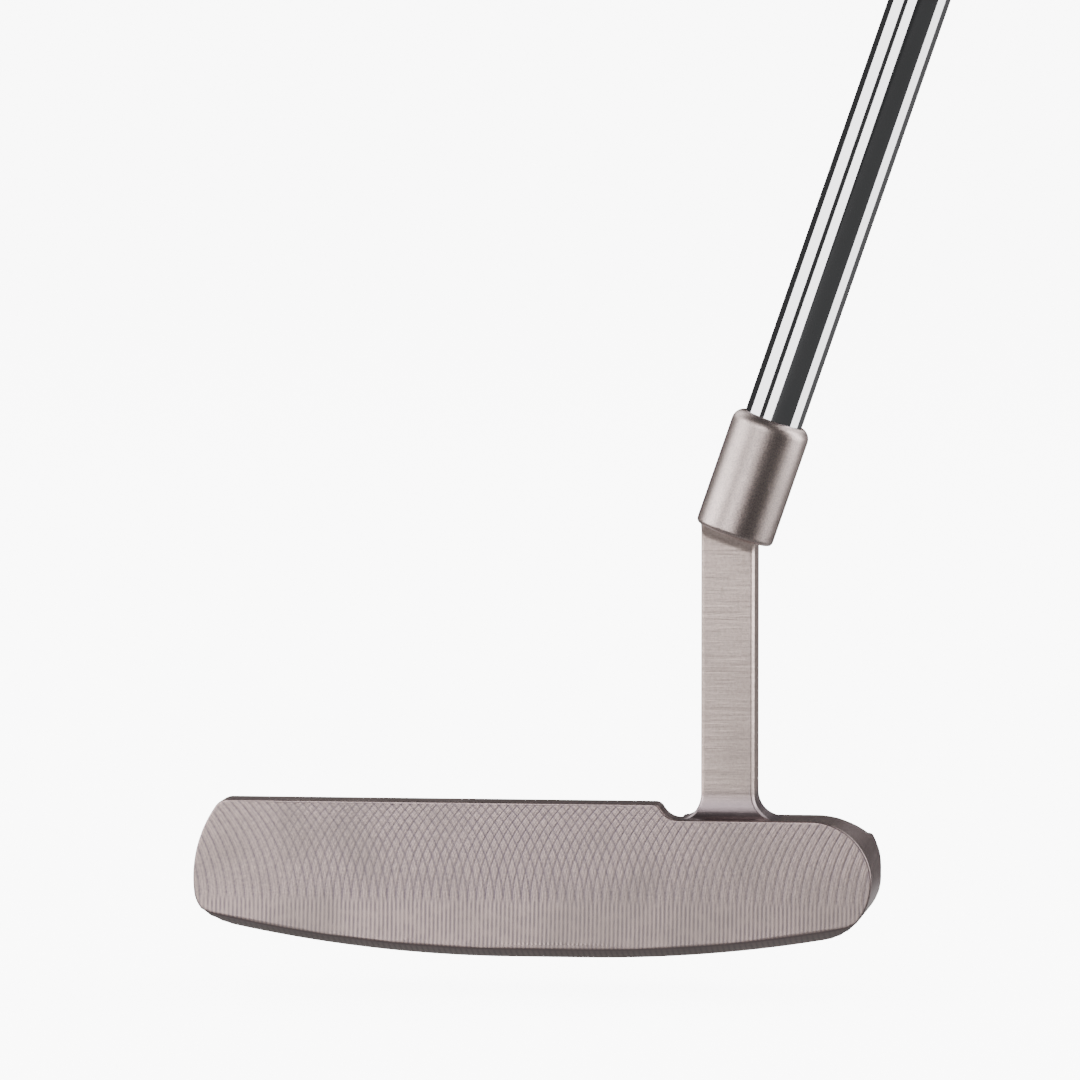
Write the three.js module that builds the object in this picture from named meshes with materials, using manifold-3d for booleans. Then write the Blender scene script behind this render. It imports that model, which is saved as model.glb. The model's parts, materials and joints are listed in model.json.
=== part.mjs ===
// Blade putter: a milled head with a plumber's neck, a stepless steel shaft and a pistol grip.
// Millimetres. The putter is soled at address: +Z is up, the face looks along -Y, the toe is at -X,
// and the heel, the shaft and the grip lie to +X. The origin is the middle of the flat on the sole.

import * as THREE from "three";
import { mergeVertices } from "three/addons/utils/BufferGeometryUtils.js";
import Module from "manifold-3d";

const wasm = await Module();
wasm.setup();

// ---- driving dimensions -------------------------------------------------------------------------

// Clearances
const GAP = 0.3; // between a piece and the seat that is cut for it
const SKIN = 0.05; // how far joined solids run into each other

// Club
const CLUB_LENGTH = 889; // along the shaft's axis, from the ground to the butt
const LIE_ANGLE = 70.9; // between the shaft and the ground, degrees
const LOFT_ANGLE = 3; // how far the face leans back, degrees
const SHAFT_FOOT_X = 7; // where the shaft's axis would meet the ground
const SHAFT_OFFSET = 4.7; // how far the shaft's axis runs ahead of the face's lower edge

// Head, seen from the front
const HEAD_HEIGHT = 25.5;
const TOE_X = -57;
const HEEL_X = 52.7;
const SHELF_HEIGHT = HEAD_HEIGHT - 2.5; // top of the heel end, where the neck stands
const SOLE_FLAT_LENGTH = 12; // level middle of the sole, heel to toe
const SOLE_RADIUS = 225; // the sole's rise towards the heel and the toe
const TOE_RADIUS = 0.784 * HEAD_HEIGHT; // the ends keep their shape as the head grows
const TOE_CENTRE_HEIGHT = 0.51 * HEAD_HEIGHT;
const TOE_TOP_RADIUS = 0.098 * HEAD_HEIGHT;
const TOE_LOWER_RADIUS = 0.204 * HEAD_HEIGHT;
const TOE_LOWER_ANGLE = 187; // where the toe curve tightens, degrees
const HEEL_RADIUS = 0.384 * HEAD_HEIGHT;
const STEP_INNER_RADIUS = 3.3; // the hollow at the foot of the topline's step
const STEP_OUTER_RADIUS = 1.5; // the round at its top

// Head, seen from the side
const SOLE_FRONT_ROLL = 8; // depth over which the sole rises to the face
const SOLE_FLAT_DEPTH = 9;
const SOLE_REAR_ROLL = 10;
const SOLE_EDGE_RISE = 2; // rise of the leading and trailing edges
const EDGE_BREAK = 0.6; // small chamfer round the face and the trailing edge
const TOPLINE_THICKNESS = 6.4;
const BLADE_THICKNESS = 5; // behind the face, in the cavity
const TOPLINE_DEPTH = 4.5; // from the topline down to the cavity's upper edge
const BUMPER_HEIGHT = 19;
const HEEL_SLOPE_END = 22; // depth at which the heel's rear slope meets the bumper
const BUMPER_STEP_HEIGHT = 13;
const FLANGE_HEIGHT = 8;
const CAVITY_LENGTH = 42;
const CAVITY_STEP_LENGTH = 50;
const CAVITY_CORNER_RADIUS = 4;
const REAR_CORNER_RADIUS = 9;

// Sight line on the flange
const SIGHT_LINE_WIDTH = 1.6;
const SIGHT_LINE_LENGTH = 13;
const SIGHT_LINE_DEPTH = 0.8;

// Neck and hosel
const NECK_X = 29.2;
const NECK_WIDTH = 8.6;
const NECK_DEPTH = 8;
const NECK_SETBACK = 4; // from the face's lower edge to the post's front
const NECK_CHAMFER = 0.8;
const NECK_TENON_DEPTH = 8; // how far the tenon reaches into the heel
const NECK_TENON_SHOULDER = 1.3; // from the post's sides to the tenon's
const NECK_PAD_MARGIN = 0.6; // full-height heel metal behind the post
const NECK_TOE_FILLET = 3.3;
const NECK_HEEL_FILLET = 4;
const NECK_FRONT_COVE = 2.1;
const HOSEL_DIAMETER = 12.7;
const HOSEL_LENGTH = 19.6;
const HOSEL_HEIGHT = 69.4; // middle of the hosel's lower end above the ground
const HOSEL_TOP_ROUND = 2;
const HOSEL_BOTTOM_ROUND = 0.8;
const HOSEL_FLOOR = 2.6; // metal left under the shaft's bore
const HOSEL_COVE = 3; // sweep from the post's front to the hosel's lower end

// Shaft
const SHAFT_TIP_DIAMETER = 9.4;
const SHAFT_BUTT_DIAMETER = 14.7;
const SHAFT_WALL = 0.5;
const SHAFT_PARALLEL_TIP = 250;
const TIP_PLUG_LENGTH = 10;

// Grip
const GRIP_LENGTH = 266;
const GRIP_TAPE_THICKNESS = 0.3;
const GRIP_MOUTH_WALL = 1.4; // rubber at the grip's lower end
const GRIP_WIDTH = 26; // across the flat at the butt
const GRIP_FLAT_REACH = 11; // from the shaft's axis to the flat at the butt
const GRIP_BACK_REACH = 19; // from the shaft's axis to the pistol bulge
const GRIP_WAIST_REACH = 13; // the same above the bulge
const GRIP_CAP_THICKNESS = 4;
const GRIP_VENT_DIAMETER = 3;

// Sole weights
const WEIGHT_HEAD_DIAMETER = 14;
const WEIGHT_HEAD_THICKNESS = 2.1;
const WEIGHT_THREAD_DIAMETER = 11;
const WEIGHT_THREAD_LENGTH = 6;
const WEIGHT_RECESS = 0.5; // below the sole
const WEIGHT_SOCKET = 5; // hexagon key, across flats
const WEIGHT_SOCKET_DEPTH = 3;
const WEIGHT_RING_THICKNESS = 1;
const TOE_WEIGHT_X = -40;
const HEEL_WEIGHT_X = 38;

// ---- derived places -----------------------------------------------------------------------------

const radians = THREE.MathUtils.degToRad;
const LEAN = radians(90 - LIE_ANGLE);
const LOFT = radians(LOFT_ANGLE);
const HEAD_DEPTH = SOLE_FRONT_ROLL + SOLE_FLAT_DEPTH + SOLE_REAR_ROLL;
const FACE_Y = -(SOLE_FRONT_ROLL + SOLE_FLAT_DEPTH / 2); // the face's foot, from the origin
const NECK_LEFT = NECK_X - NECK_WIDTH / 2;
const NECK_RIGHT = NECK_X + NECK_WIDTH / 2;
const NECK_BACK = NECK_SETBACK + NECK_DEPTH;
const HOSEL_RADIUS = HOSEL_DIAMETER / 2;
const HOSEL_START = HOSEL_HEIGHT / Math.cos(LEAN); // along the shaft's axis from the ground
const BORE_RADIUS = SHAFT_TIP_DIAMETER / 2 + GAP;
const SHAFT_START = HOSEL_START + HOSEL_FLOOR + GAP;
const SHAFT_END = CLUB_LENGTH - GRIP_CAP_THICKNESS - GAP;
const GRIP_START = CLUB_LENGTH - GRIP_LENGTH;
const GRIP_END = CLUB_LENGTH - GRIP_CAP_THICKNESS - GAP;
const TAPE_INNER = SHAFT_BUTT_DIAMETER / 2 + GAP;
const TAPE_OUTER = TAPE_INNER + GRIP_TAPE_THICKNESS;
const GRIP_BORE = TAPE_OUTER + GAP;
const WEIGHT_Y = HEAD_DEPTH / 2 + 1.5; // from the face's foot

// ---- solids -------------------------------------------------------------------------------------

// A closed geometry as a solid that can be joined and cut.
function solid(geometry) {
  const bare = geometry.index ? geometry.toNonIndexed() : geometry.clone();
  bare.deleteAttribute("normal");
  bare.deleteAttribute("uv");
  const merged = mergeVertices(bare, 1e-4);
  return new wasm.Manifold(
    new wasm.Mesh({
      numProp: 3,
      vertProperties: merged.attributes.position.array,
      triVerts: new Uint32Array(merged.index.array),
    }),
  );
}

// A solid as a flat-shaded geometry.
function geometryOf(body) {
  const mesh = body.getMesh();
  const geometry = new THREE.BufferGeometry();
  geometry.setAttribute("position", new THREE.BufferAttribute(mesh.vertProperties, 3));
  geometry.setIndex(new THREE.BufferAttribute(mesh.triVerts, 1));
  const flat = geometry.toNonIndexed();
  flat.computeVertexNormals();
  return flat;
}

// Skins a row of stations. Each holds an outline with as many points as its neighbours and a
// function that places an outline's point in space.
function loft(stations) {
  const count = stations[0].outline.length;
  const points = stations.flatMap(({ outline, place }) => outline.map(place));
  const triangles = [];
  for (let s = 0; s + 1 < stations.length; s++) {
    for (let i = 0; i < count; i++) {
      const a = s * count + i;
      const b = s * count + ((i + 1) % count);
      triangles.push([a, b, b + count], [a, b + count, a + count]);
    }
  }
  const first = THREE.ShapeUtils.triangulateShape(stations[0].outline, []);
  const last = THREE.ShapeUtils.triangulateShape(stations.at(-1).outline, []);
  const lastStart = (stations.length - 1) * count;
  first.forEach(([a, b, c]) => triangles.push([a, c, b]));
  last.forEach(([a, b, c]) => triangles.push([a + lastStart, b + lastStart, c + lastStart]));

  const sixVolumes = triangles.reduce((sum, [a, b, c]) => {
    return sum + points[a].dot(new THREE.Vector3().crossVectors(points[b], points[c]));
  }, 0);
  const facing = sixVolumes < 0 ? triangles.map(([a, b, c]) => [a, c, b]) : triangles;
  const geometry = new THREE.BufferGeometry().setFromPoints(points);
  geometry.setIndex(facing.flat());
  return geometry;
}

// A box given by its lowest and highest corners.
function boxBetween(low, high) {
  const size = high.map((value, axis) => value - low[axis]);
  const middle = high.map((value, axis) => (value + low[axis]) / 2);
  return new THREE.BoxGeometry(...size).translate(...middle);
}

// A turned solid about +Z. The profile is a list of [radius, height].
function turned(profile, segments = 32) {
  const points = profile.map(([radius, height]) => new THREE.Vector2(radius, height));
  return new THREE.LatheGeometry(points, segments).rotateX(Math.PI / 2);
}

// A plain disc or rod about +Z, between two heights.
function rod(radius, from, to, segments = 32) {
  return turned(
    [
      [0, from],
      [radius, from],
      [radius, to],
      [0, to],
    ],
    segments,
  );
}

// A tube about +Z, between two heights.
function tube(inner, outer, from, to, segments = 32) {
  return turned(
    [
      [inner, from],
      [outer, from],
      [outer, to],
      [inner, to],
      [inner, from],
    ],
    segments,
  );
}

// Points on an arc, from one angle to the other in degrees, both ends included.
function arc(centreX, centreY, radius, from, to, steps) {
  return Array.from({ length: steps + 1 }, (_, i) => {
    const angle = radians(from + ((to - from) * i) / steps);
    return new THREE.Vector2(
      centreX + radius * Math.cos(angle),
      centreY + radius * Math.sin(angle),
    );
  });
}

// ---- head ---------------------------------------------------------------------------------------

// Height of the sole's lowest line at a place between toe and heel.
function soleHeight(x) {
  const past = Math.max(0, Math.abs(x) - SOLE_FLAT_LENGTH / 2);
  return SOLE_RADIUS - Math.sqrt(SOLE_RADIUS ** 2 - past ** 2);
}

// Rise of the sole at a depth behind the face's foot.
function soleRise(depth) {
  const front = Math.max(0, 1 - depth / SOLE_FRONT_ROLL);
  const rear = Math.max(0, 1 - (HEAD_DEPTH - depth) / SOLE_REAR_ROLL);
  return SOLE_EDGE_RISE * (front ** 2 + rear ** 2);
}

// The angle on a circle at which it comes clear of the sole's raised edge.
function cornerAngle(centreX, centreZ, radius, from, step) {
  let angle = from;
  const clear = () => {
    const x = centreX + radius * Math.cos(radians(angle));
    const z = centreZ + radius * Math.sin(radians(angle));
    return z > soleHeight(x) + SOLE_EDGE_RISE + GAP;
  };
  while (!clear()) {
    angle += step;
  }
  return angle;
}

// The head's outline seen from the front, as [x, z] points from the toe's corner along the sole,
// round the heel and back along the top. The rise lifts the sole, and the inset draws in the rest.
function headOutline(rise, inset) {
  const heelX = HEEL_X - HEEL_RADIUS;
  const heelZ = SHELF_HEIGHT - HEEL_RADIUS;
  const toeX = TOE_X + TOE_RADIUS;
  const upperReach = TOE_RADIUS - TOE_TOP_RADIUS;
  const upperZ = HEAD_HEIGHT - TOE_TOP_RADIUS;
  const upperAngle = 180 - THREE.MathUtils.radToDeg(
    Math.asin((upperZ - TOE_CENTRE_HEIGHT) / upperReach),
  );
  const upperX = toeX + upperReach * Math.cos(radians(upperAngle));
  const lowerReach = TOE_RADIUS - TOE_LOWER_RADIUS;
  const lowerX = toeX + lowerReach * Math.cos(radians(TOE_LOWER_ANGLE));
  const lowerZ = TOE_CENTRE_HEIGHT + lowerReach * Math.sin(radians(TOE_LOWER_ANGLE));

  const heelAngle = cornerAngle(heelX, heelZ, HEEL_RADIUS, -90, 1);
  const toeAngle = cornerAngle(lowerX, lowerZ, TOE_LOWER_RADIUS, 270, -1);
  const heelArc = arc(heelX, heelZ, HEEL_RADIUS - inset, heelAngle, 90, 14);
  const toeTop = arc(upperX, upperZ, TOE_TOP_RADIUS - inset, 90, upperAngle, 6);
  const toeSide = arc(toeX, TOE_CENTRE_HEIGHT, TOE_RADIUS - inset, upperAngle, TOE_LOWER_ANGLE, 6);
  const toeLower = arc(lowerX, lowerZ, TOE_LOWER_RADIUS - inset, TOE_LOWER_ANGLE, toeAngle, 4);

  const stepRise = HEAD_HEIGHT - SHELF_HEIGHT;
  const stepRadii = STEP_INNER_RADIUS + STEP_OUTER_RADIUS;
  const stepAngle = THREE.MathUtils.radToDeg(Math.acos(1 - stepRise / stepRadii));
  const stepX = NECK_LEFT - NECK_TOE_FILLET;
  const stepTopX = stepX - stepRadii * Math.sin(radians(stepAngle));
  const hollow = arc(
    stepX,
    SHELF_HEIGHT + STEP_INNER_RADIUS,
    STEP_INNER_RADIUS + inset,
    -90,
    -90 - stepAngle,
    6,
  );
  const round = arc(
    stepTopX,
    HEAD_HEIGHT - STEP_OUTER_RADIUS,
    STEP_OUTER_RADIUS - inset,
    90 - stepAngle,
    90,
    4,
  );

  const soleStart = toeLower.at(-1).x;
  const soleEnd = heelArc[0].x;
  const stations = 26;
  const sole = [];
  for (let i = 0; i <= stations; i++) {
    const x = soleStart + ((soleEnd - soleStart) * i) / stations;
    const half = SOLE_FLAT_LENGTH / 2;
    const nearest = Math.abs(Math.abs(x) - half) < 2 ? Math.sign(x) * half : x;
    sole.push(new THREE.Vector2(nearest, soleHeight(nearest) + rise));
  }
  return [
    ...sole,
    ...heelArc,
    ...hollow,
    ...round,
    ...toeTop,
    ...toeSide.slice(1),
    ...toeLower.slice(1),
  ];
}

// The block that the head is milled from: its front outline carried back, leaning with the loft.
function headBlock() {
  const front = [0, EDGE_BREAK, 0.3 * SOLE_FRONT_ROLL, 0.6 * SOLE_FRONT_ROLL, SOLE_FRONT_ROLL];
  const rear = [SOLE_REAR_ROLL, 0.6 * SOLE_REAR_ROLL, 0.3 * SOLE_REAR_ROLL, EDGE_BREAK, 0];
  const depths = [...front, ...rear.map((value) => HEAD_DEPTH - value)];
  return loft(
    depths.map((depth) => {
      const atEnd = depth === 0 || depth === HEAD_DEPTH;
      return {
        outline: headOutline(soleRise(depth), atEnd ? EDGE_BREAK : 0),
        place: ({ x, y }) => new THREE.Vector3(x, depth + y * Math.tan(LOFT), y),
      };
    }),
  );
}

// A rectangle in plan, from a front edge to far behind the head, with its front corners rounded,
// cut from a floor up to a ceiling.
function rearPocket(length, front, floor, ceiling) {
  const cornerRadius = CAVITY_CORNER_RADIUS;
  const half = length / 2;
  const back = 3 * HEAD_DEPTH;
  const outline = [
    ...arc(-half + cornerRadius, front + cornerRadius, cornerRadius, 180, 270, 5),
    ...arc(half - cornerRadius, front + cornerRadius, cornerRadius, 270, 360, 5),
    new THREE.Vector2(half, back),
    new THREE.Vector2(-half, back),
  ];
  const shape = new THREE.Shape(outline);
  const depth = ceiling - floor;
  return new THREE.ExtrudeGeometry(shape, { depth, bevelEnabled: false }).translate(0, 0, floor);
}

// A wedge that slopes down from the shelf, behind the neck, to the heel's bumper.
function heelSlope() {
  const front = NECK_BACK + NECK_PAD_MARGIN;
  const outline = [
    new THREE.Vector2(0, 0),
    new THREE.Vector2(HEEL_SLOPE_END, 0),
    new THREE.Vector2(HEEL_SLOPE_END, BUMPER_HEIGHT),
    new THREE.Vector2(front, SHELF_HEIGHT),
    new THREE.Vector2(0, SHELF_HEIGHT),
  ];
  const station = (side) => ({
    outline,
    place: ({ x, y }) => new THREE.Vector3(side, x, y),
  });
  return loft([station(CAVITY_STEP_LENGTH / 2), station(2 * HEEL_X)]);
}

// The head's plan with rounded rear corners, tall enough to trim the whole block.
function planTrim() {
  const reach = HEAD_HEIGHT * Math.tan(LOFT);
  const low = TOE_X - 1;
  const high = HEEL_X + 1;
  const back = HEAD_DEPTH + SKIN;
  const outline = [
    new THREE.Vector2(low, -1),
    new THREE.Vector2(high, -1),
    ...arc(high - 1 - REAR_CORNER_RADIUS, back - REAR_CORNER_RADIUS, REAR_CORNER_RADIUS, 0, 90, 8),
    ...arc(low + 1 + REAR_CORNER_RADIUS, back - REAR_CORNER_RADIUS, REAR_CORNER_RADIUS, 90, 180, 8),
  ];
  const station = (height) => ({
    outline,
    place: ({ x, y }) => new THREE.Vector3(x, y + height * Math.tan(LOFT), height),
  });
  return loft([station(-1), station(HEAD_HEIGHT + reach)]);
}

// The frame of a sole weight: its origin is on the sole and its +Z points out of the sole.
function weightFrame(x) {
  const past = Math.sign(x) * (Math.abs(x) - SOLE_FLAT_LENGTH / 2);
  const frame = new THREE.Group();
  frame.position.set(x, WEIGHT_Y, soleHeight(x));
  frame.rotation.y = Math.PI - Math.asin(past / SOLE_RADIUS);
  frame.updateMatrix();
  return frame;
}

const WEIGHT_HEAD_INNER = -WEIGHT_RECESS - WEIGHT_HEAD_THICKNESS;
const WEIGHT_RING_TOP = WEIGHT_HEAD_INNER - GAP;
const WEIGHT_SEAT = WEIGHT_RING_TOP - WEIGHT_RING_THICKNESS - GAP;
const WEIGHT_END = WEIGHT_HEAD_INNER - WEIGHT_THREAD_LENGTH;

// The counterbore and the threaded hole for a sole weight.
function weightBore() {
  const open = 3;
  const counterbore = solid(rod(WEIGHT_HEAD_DIAMETER / 2 + GAP, WEIGHT_SEAT, open, 36));
  const hole = solid(rod(WEIGHT_THREAD_DIAMETER / 2 + GAP, WEIGHT_END - GAP, open, 36));
  return counterbore.add(hole);
}

function headBody() {
  const blade = TOPLINE_THICKNESS + SHELF_HEIGHT * Math.tan(LOFT);
  const wide = HEEL_X - TOE_X;
  let head = solid(headBlock()).intersect(solid(planTrim()));
  const shoulders = boxBetween(
    [TOE_X - wide, blade, BUMPER_HEIGHT],
    [HEEL_X + wide, 3 * HEAD_DEPTH, 2 * HEAD_HEIGHT],
  );
  const heelBlock = boxBetween(
    [NECK_LEFT - NECK_TOE_FILLET, 0, 0],
    [HEEL_X + wide, NECK_BACK + NECK_PAD_MARGIN, HEAD_HEIGHT],
  );
  const cavityFront = BLADE_THICKNESS + FLANGE_HEIGHT * Math.tan(LOFT);
  const cavityTop = HEAD_HEIGHT - TOPLINE_DEPTH;
  const step = rearPocket(CAVITY_STEP_LENGTH, blade, BUMPER_STEP_HEIGHT, 2 * HEAD_HEIGHT);
  const cavity = rearPocket(CAVITY_LENGTH, cavityFront, FLANGE_HEIGHT, cavityTop);
  const kept = solid(heelBlock).add(solid(heelSlope()));
  head = head.subtract(solid(shoulders).add(solid(step)).subtract(kept));
  head = head.subtract(solid(cavity));

  const tenonFoot = SHELF_HEIGHT - NECK_TENON_DEPTH;
  const slack = GAP - NECK_TENON_SHOULDER;
  const socket = boxBetween(
    [NECK_LEFT - slack, NECK_SETBACK - slack, tenonFoot - GAP],
    [NECK_RIGHT + slack, NECK_BACK + slack, 2 * HEAD_HEIGHT],
  );
  const groove = boxBetween(
    [-SIGHT_LINE_WIDTH / 2, sightLineStart(), FLANGE_HEIGHT - SIGHT_LINE_DEPTH],
    [SIGHT_LINE_WIDTH / 2, sightLineStart() + SIGHT_LINE_LENGTH, HEAD_HEIGHT],
  );
  head = head.subtract(solid(socket)).subtract(solid(groove));
  for (const x of [TOE_WEIGHT_X, HEEL_WEIGHT_X]) {
    const bore = geometryOf(weightBore()).applyMatrix4(weightFrame(x).matrix);
    head = head.subtract(solid(bore));
  }
  return geometryOf(head);
}

// The sight line lies in the middle of the flange behind the cavity's front wall.
function sightLineStart() {
  const from = BLADE_THICKNESS + FLANGE_HEIGHT * Math.tan(LOFT);
  return (from + HEAD_DEPTH - SOLE_EDGE_RISE - SIGHT_LINE_LENGTH) / 2;
}

function sightLineFill() {
  const start = sightLineStart();
  return boxBetween(
    [-SIGHT_LINE_WIDTH / 2 + GAP, start + GAP, FLANGE_HEIGHT - SIGHT_LINE_DEPTH],
    [SIGHT_LINE_WIDTH / 2 - GAP, start + SIGHT_LINE_LENGTH - GAP, FLANGE_HEIGHT],
  );
}

// ---- neck ---------------------------------------------------------------------------------------

// A rectangle with its corners cut, as [x, y] points.
function chamferedRectangle(left, right, front, back, cut) {
  return [
    new THREE.Vector2(left + cut, front),
    new THREE.Vector2(right - cut, front),
    new THREE.Vector2(right, front + cut),
    new THREE.Vector2(right, back - cut),
    new THREE.Vector2(right - cut, back),
    new THREE.Vector2(left + cut, back),
    new THREE.Vector2(left, back - cut),
    new THREE.Vector2(left, front + cut),
  ];
}

// A level station of the post, grown towards the toe, the heel, the front and the back.
function levelStation(height, grow) {
  const outline = chamferedRectangle(
    NECK_LEFT - grow.toe,
    NECK_RIGHT + grow.heel,
    NECK_SETBACK - grow.front,
    NECK_BACK + grow.back,
    NECK_CHAMFER,
  );
  return { outline, place: ({ x, y }) => new THREE.Vector3(x, y, height) };
}

// A station in a plane square to the hosel, at a distance above its lower end. Below the hosel the
// post stays upright, and above it the post leans with the hosel.
function leaningStation(along, front, back) {
  const axisX = SHAFT_FOOT_X + HOSEL_START * Math.sin(LEAN);
  const outline = chamferedRectangle(NECK_LEFT, NECK_RIGHT, front, back, NECK_CHAMFER);
  const upright = Math.min(0, along);
  const leaning = Math.max(0, along);
  return {
    outline,
    place: ({ x, y }) => {
      const drop = (x - axisX) * Math.tan(LEAN);
      return new THREE.Vector3(
        x + leaning * Math.sin(LEAN),
        y,
        HOSEL_HEIGHT + upright / Math.cos(LEAN) + leaning * Math.cos(LEAN) - drop,
      );
    },
  };
}

// The flat post, from its tenon in the heel to its sweep into the hosel.
function neckPost() {
  const shoulder = -NECK_TENON_SHOULDER;
  const tenon = { toe: shoulder, heel: shoulder, front: shoulder, back: shoulder };
  const hollow = [0, 0.1, 0.25, 0.45, 0.7, 1];
  const base = hollow.map((share) => {
    const short = 1 - Math.sqrt(1 - (1 - share) ** 2);
    const grow = {
      toe: NECK_TOE_FILLET * short,
      heel: NECK_HEEL_FILLET * short,
      front: NECK_FRONT_COVE * short,
      back: 0,
    };
    return levelStation(SHELF_HEIGHT + NECK_HEEL_FILLET * share, grow);
  });
  const sweep = [0.25, 0.5, 0.75, 0.95].map((share) => {
    const reach = HOSEL_COVE * (1 - Math.sqrt(1 - share ** 2));
    return leaningStation(HOSEL_COVE * (share - 1), NECK_SETBACK - reach, NECK_BACK);
  });
  const hoselBack = HOSEL_RADIUS - SHAFT_OFFSET;
  const inside = (hoselBack - SHAFT_OFFSET) / 2;
  const shoulderHeights = [0.04, 0.15, 0.27, 0.38, 0.48, 0.57, 0.65, 0.71];
  const shoulders = shoulderHeights.map((share, i) => {
    const turn = radians((90 * i) / (shoulderHeights.length - 1));
    const back = hoselBack - SKIN + (NECK_BACK - hoselBack) * Math.cos(turn);
    return leaningStation(share * HOSEL_LENGTH, inside, back);
  });
  return loft([
    levelStation(SHELF_HEIGHT - NECK_TENON_DEPTH, tenon),
    levelStation(SHELF_HEIGHT, tenon),
    ...base,
    leaningStation(-2 * HOSEL_COVE, NECK_SETBACK, NECK_BACK),
    leaningStation(-HOSEL_COVE, NECK_SETBACK, NECK_BACK),
    ...sweep,
    ...shoulders,
  ]);
}

// The frame of the shaft: its origin is where the axis meets the ground, +Z runs up the shaft and
// -X faces the toe.
function shaftFrame() {
  const frame = new THREE.Group();
  frame.position.set(SHAFT_FOOT_X, -SHAFT_OFFSET, 0);
  frame.rotation.y = LEAN;
  frame.updateMatrix();
  return frame;
}

function hosel() {
  const top = HOSEL_START + HOSEL_LENGTH;
  const lower = arc(
    HOSEL_RADIUS - HOSEL_BOTTOM_ROUND,
    HOSEL_START + HOSEL_BOTTOM_ROUND,
    HOSEL_BOTTOM_ROUND,
    -90,
    0,
    3,
  );
  const upper = arc(
    HOSEL_RADIUS - HOSEL_TOP_ROUND,
    top - HOSEL_TOP_ROUND,
    HOSEL_TOP_ROUND,
    0,
    80,
    4,
  );
  const profile = [
    [0, HOSEL_START],
    ...lower.map(({ x, y }) => [x, y]),
    ...upper.map(({ x, y }) => [x, y]),
    [0, top],
  ];
  return turned(profile, 40);
}

function plumbersNeck() {
  const { matrix } = shaftFrame();
  const barrel = solid(hosel().applyMatrix4(matrix));
  const boreTop = HOSEL_START + HOSEL_LENGTH + 1;
  const bore = solid(
    rod(BORE_RADIUS, HOSEL_START + HOSEL_FLOOR, boreTop, 40).applyMatrix4(matrix),
  );
  return geometryOf(solid(neckPost()).add(barrel).subtract(bore));
}

// ---- shaft and grip, in the shaft's frame -------------------------------------------------------

function shaft() {
  const tip = SHAFT_TIP_DIAMETER / 2;
  const butt = SHAFT_BUTT_DIAMETER / 2;
  const taperStart = SHAFT_START + SHAFT_PARALLEL_TIP;
  const taperEnd = GRIP_START - 2 * SHAFT_BUTT_DIAMETER;
  return turned([
    [tip - SHAFT_WALL, SHAFT_START],
    [tip, SHAFT_START],
    [tip, taperStart],
    [butt, taperEnd],
    [butt, SHAFT_END],
    [butt - SHAFT_WALL, SHAFT_END],
    [butt - SHAFT_WALL, taperEnd],
    [tip - SHAFT_WALL, taperStart],
    [tip - SHAFT_WALL, SHAFT_START],
  ]);
}

function tipPlug() {
  const radius = SHAFT_TIP_DIAMETER / 2 - SHAFT_WALL - GAP;
  const foot = SHAFT_START + GAP;
  return rod(radius, foot, foot + TIP_PLUG_LENGTH, 20);
}

function gripTape() {
  return tube(TAPE_INNER, TAPE_OUTER, GRIP_START + 2, SHAFT_END - 2);
}

// A section of the grip: a flat towards the toe, a round back, and a width across the flat.
function gripSection(halfWidth, flatReach, backReach, squareness) {
  const steps = 32;
  return Array.from({ length: steps }, (_, i) => {
    const angle = (2 * Math.PI * (i + 0.5)) / steps;
    const cosine = Math.cos(angle);
    const sine = Math.sin(angle);
    const power = cosine < 0 ? 1 - squareness : 1;
    const reach = cosine < 0 ? flatReach : backReach;
    return new THREE.Vector2(
      Math.sign(cosine) * reach * Math.abs(cosine) ** power,
      Math.sign(sine) * halfWidth * Math.abs(sine) ** power,
    );
  });
}

// The grip's section at a share of its length, from 0 at the mouth to 1 at the butt.
function gripSectionAt(share) {
  const ease = THREE.MathUtils.smoothstep;
  const mouth = GRIP_BORE + GRIP_MOUTH_WALL;
  const swell = ease(share, -0.35, 0.8);
  const bulge = ease(share, 0.72, 0.97);
  const start = ease(0, -0.35, 0.8);
  const grow = (swell - start) / (1 - start);
  return gripSection(
    mouth + (GRIP_WIDTH / 2 - mouth) * grow,
    mouth + (GRIP_FLAT_REACH - mouth) * grow,
    mouth + (GRIP_WAIST_REACH - mouth) * grow + (GRIP_BACK_REACH - GRIP_WAIST_REACH) * bulge,
    0.45 * ease(share, 0, 0.25),
  );
}

function gripSleeve() {
  const shares = [0, 0.06, 0.12, 0.2, 0.35, 0.5, 0.65, 0.74, 0.8, 0.85, 0.9, 0.95, 1];
  const outside = loft(
    shares.map((share) => {
      const along = GRIP_START + (GRIP_END - GRIP_START) * share;
      return {
        outline: gripSectionAt(share),
        place: ({ x, y }) => new THREE.Vector3(x, y, along),
      };
    }),
  );
  const bore = rod(GRIP_BORE, GRIP_START - 1, GRIP_END + 1);
  return geometryOf(solid(outside).subtract(solid(bore)));
}

function gripCap() {
  const round = 1.2;
  const section = gripSectionAt(1);
  const station = (along, inset) => ({
    outline: section.map((point) => point.clone().setLength(point.length() - inset)),
    place: ({ x, y }) => new THREE.Vector3(x, y, along),
  });
  const foot = CLUB_LENGTH - GRIP_CAP_THICKNESS;
  const cap = loft([
    station(foot, 0),
    station(CLUB_LENGTH - round, 0),
    station(CLUB_LENGTH - 0.3 * round, 0.3 * round),
    station(CLUB_LENGTH, round),
  ]);
  const vent = rod(GRIP_VENT_DIAMETER / 2, foot - 1, CLUB_LENGTH + 1, 20);
  return geometryOf(solid(cap).subtract(solid(vent)));
}

// ---- sole weights, in a weight's frame ----------------------------------------------------------

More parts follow.
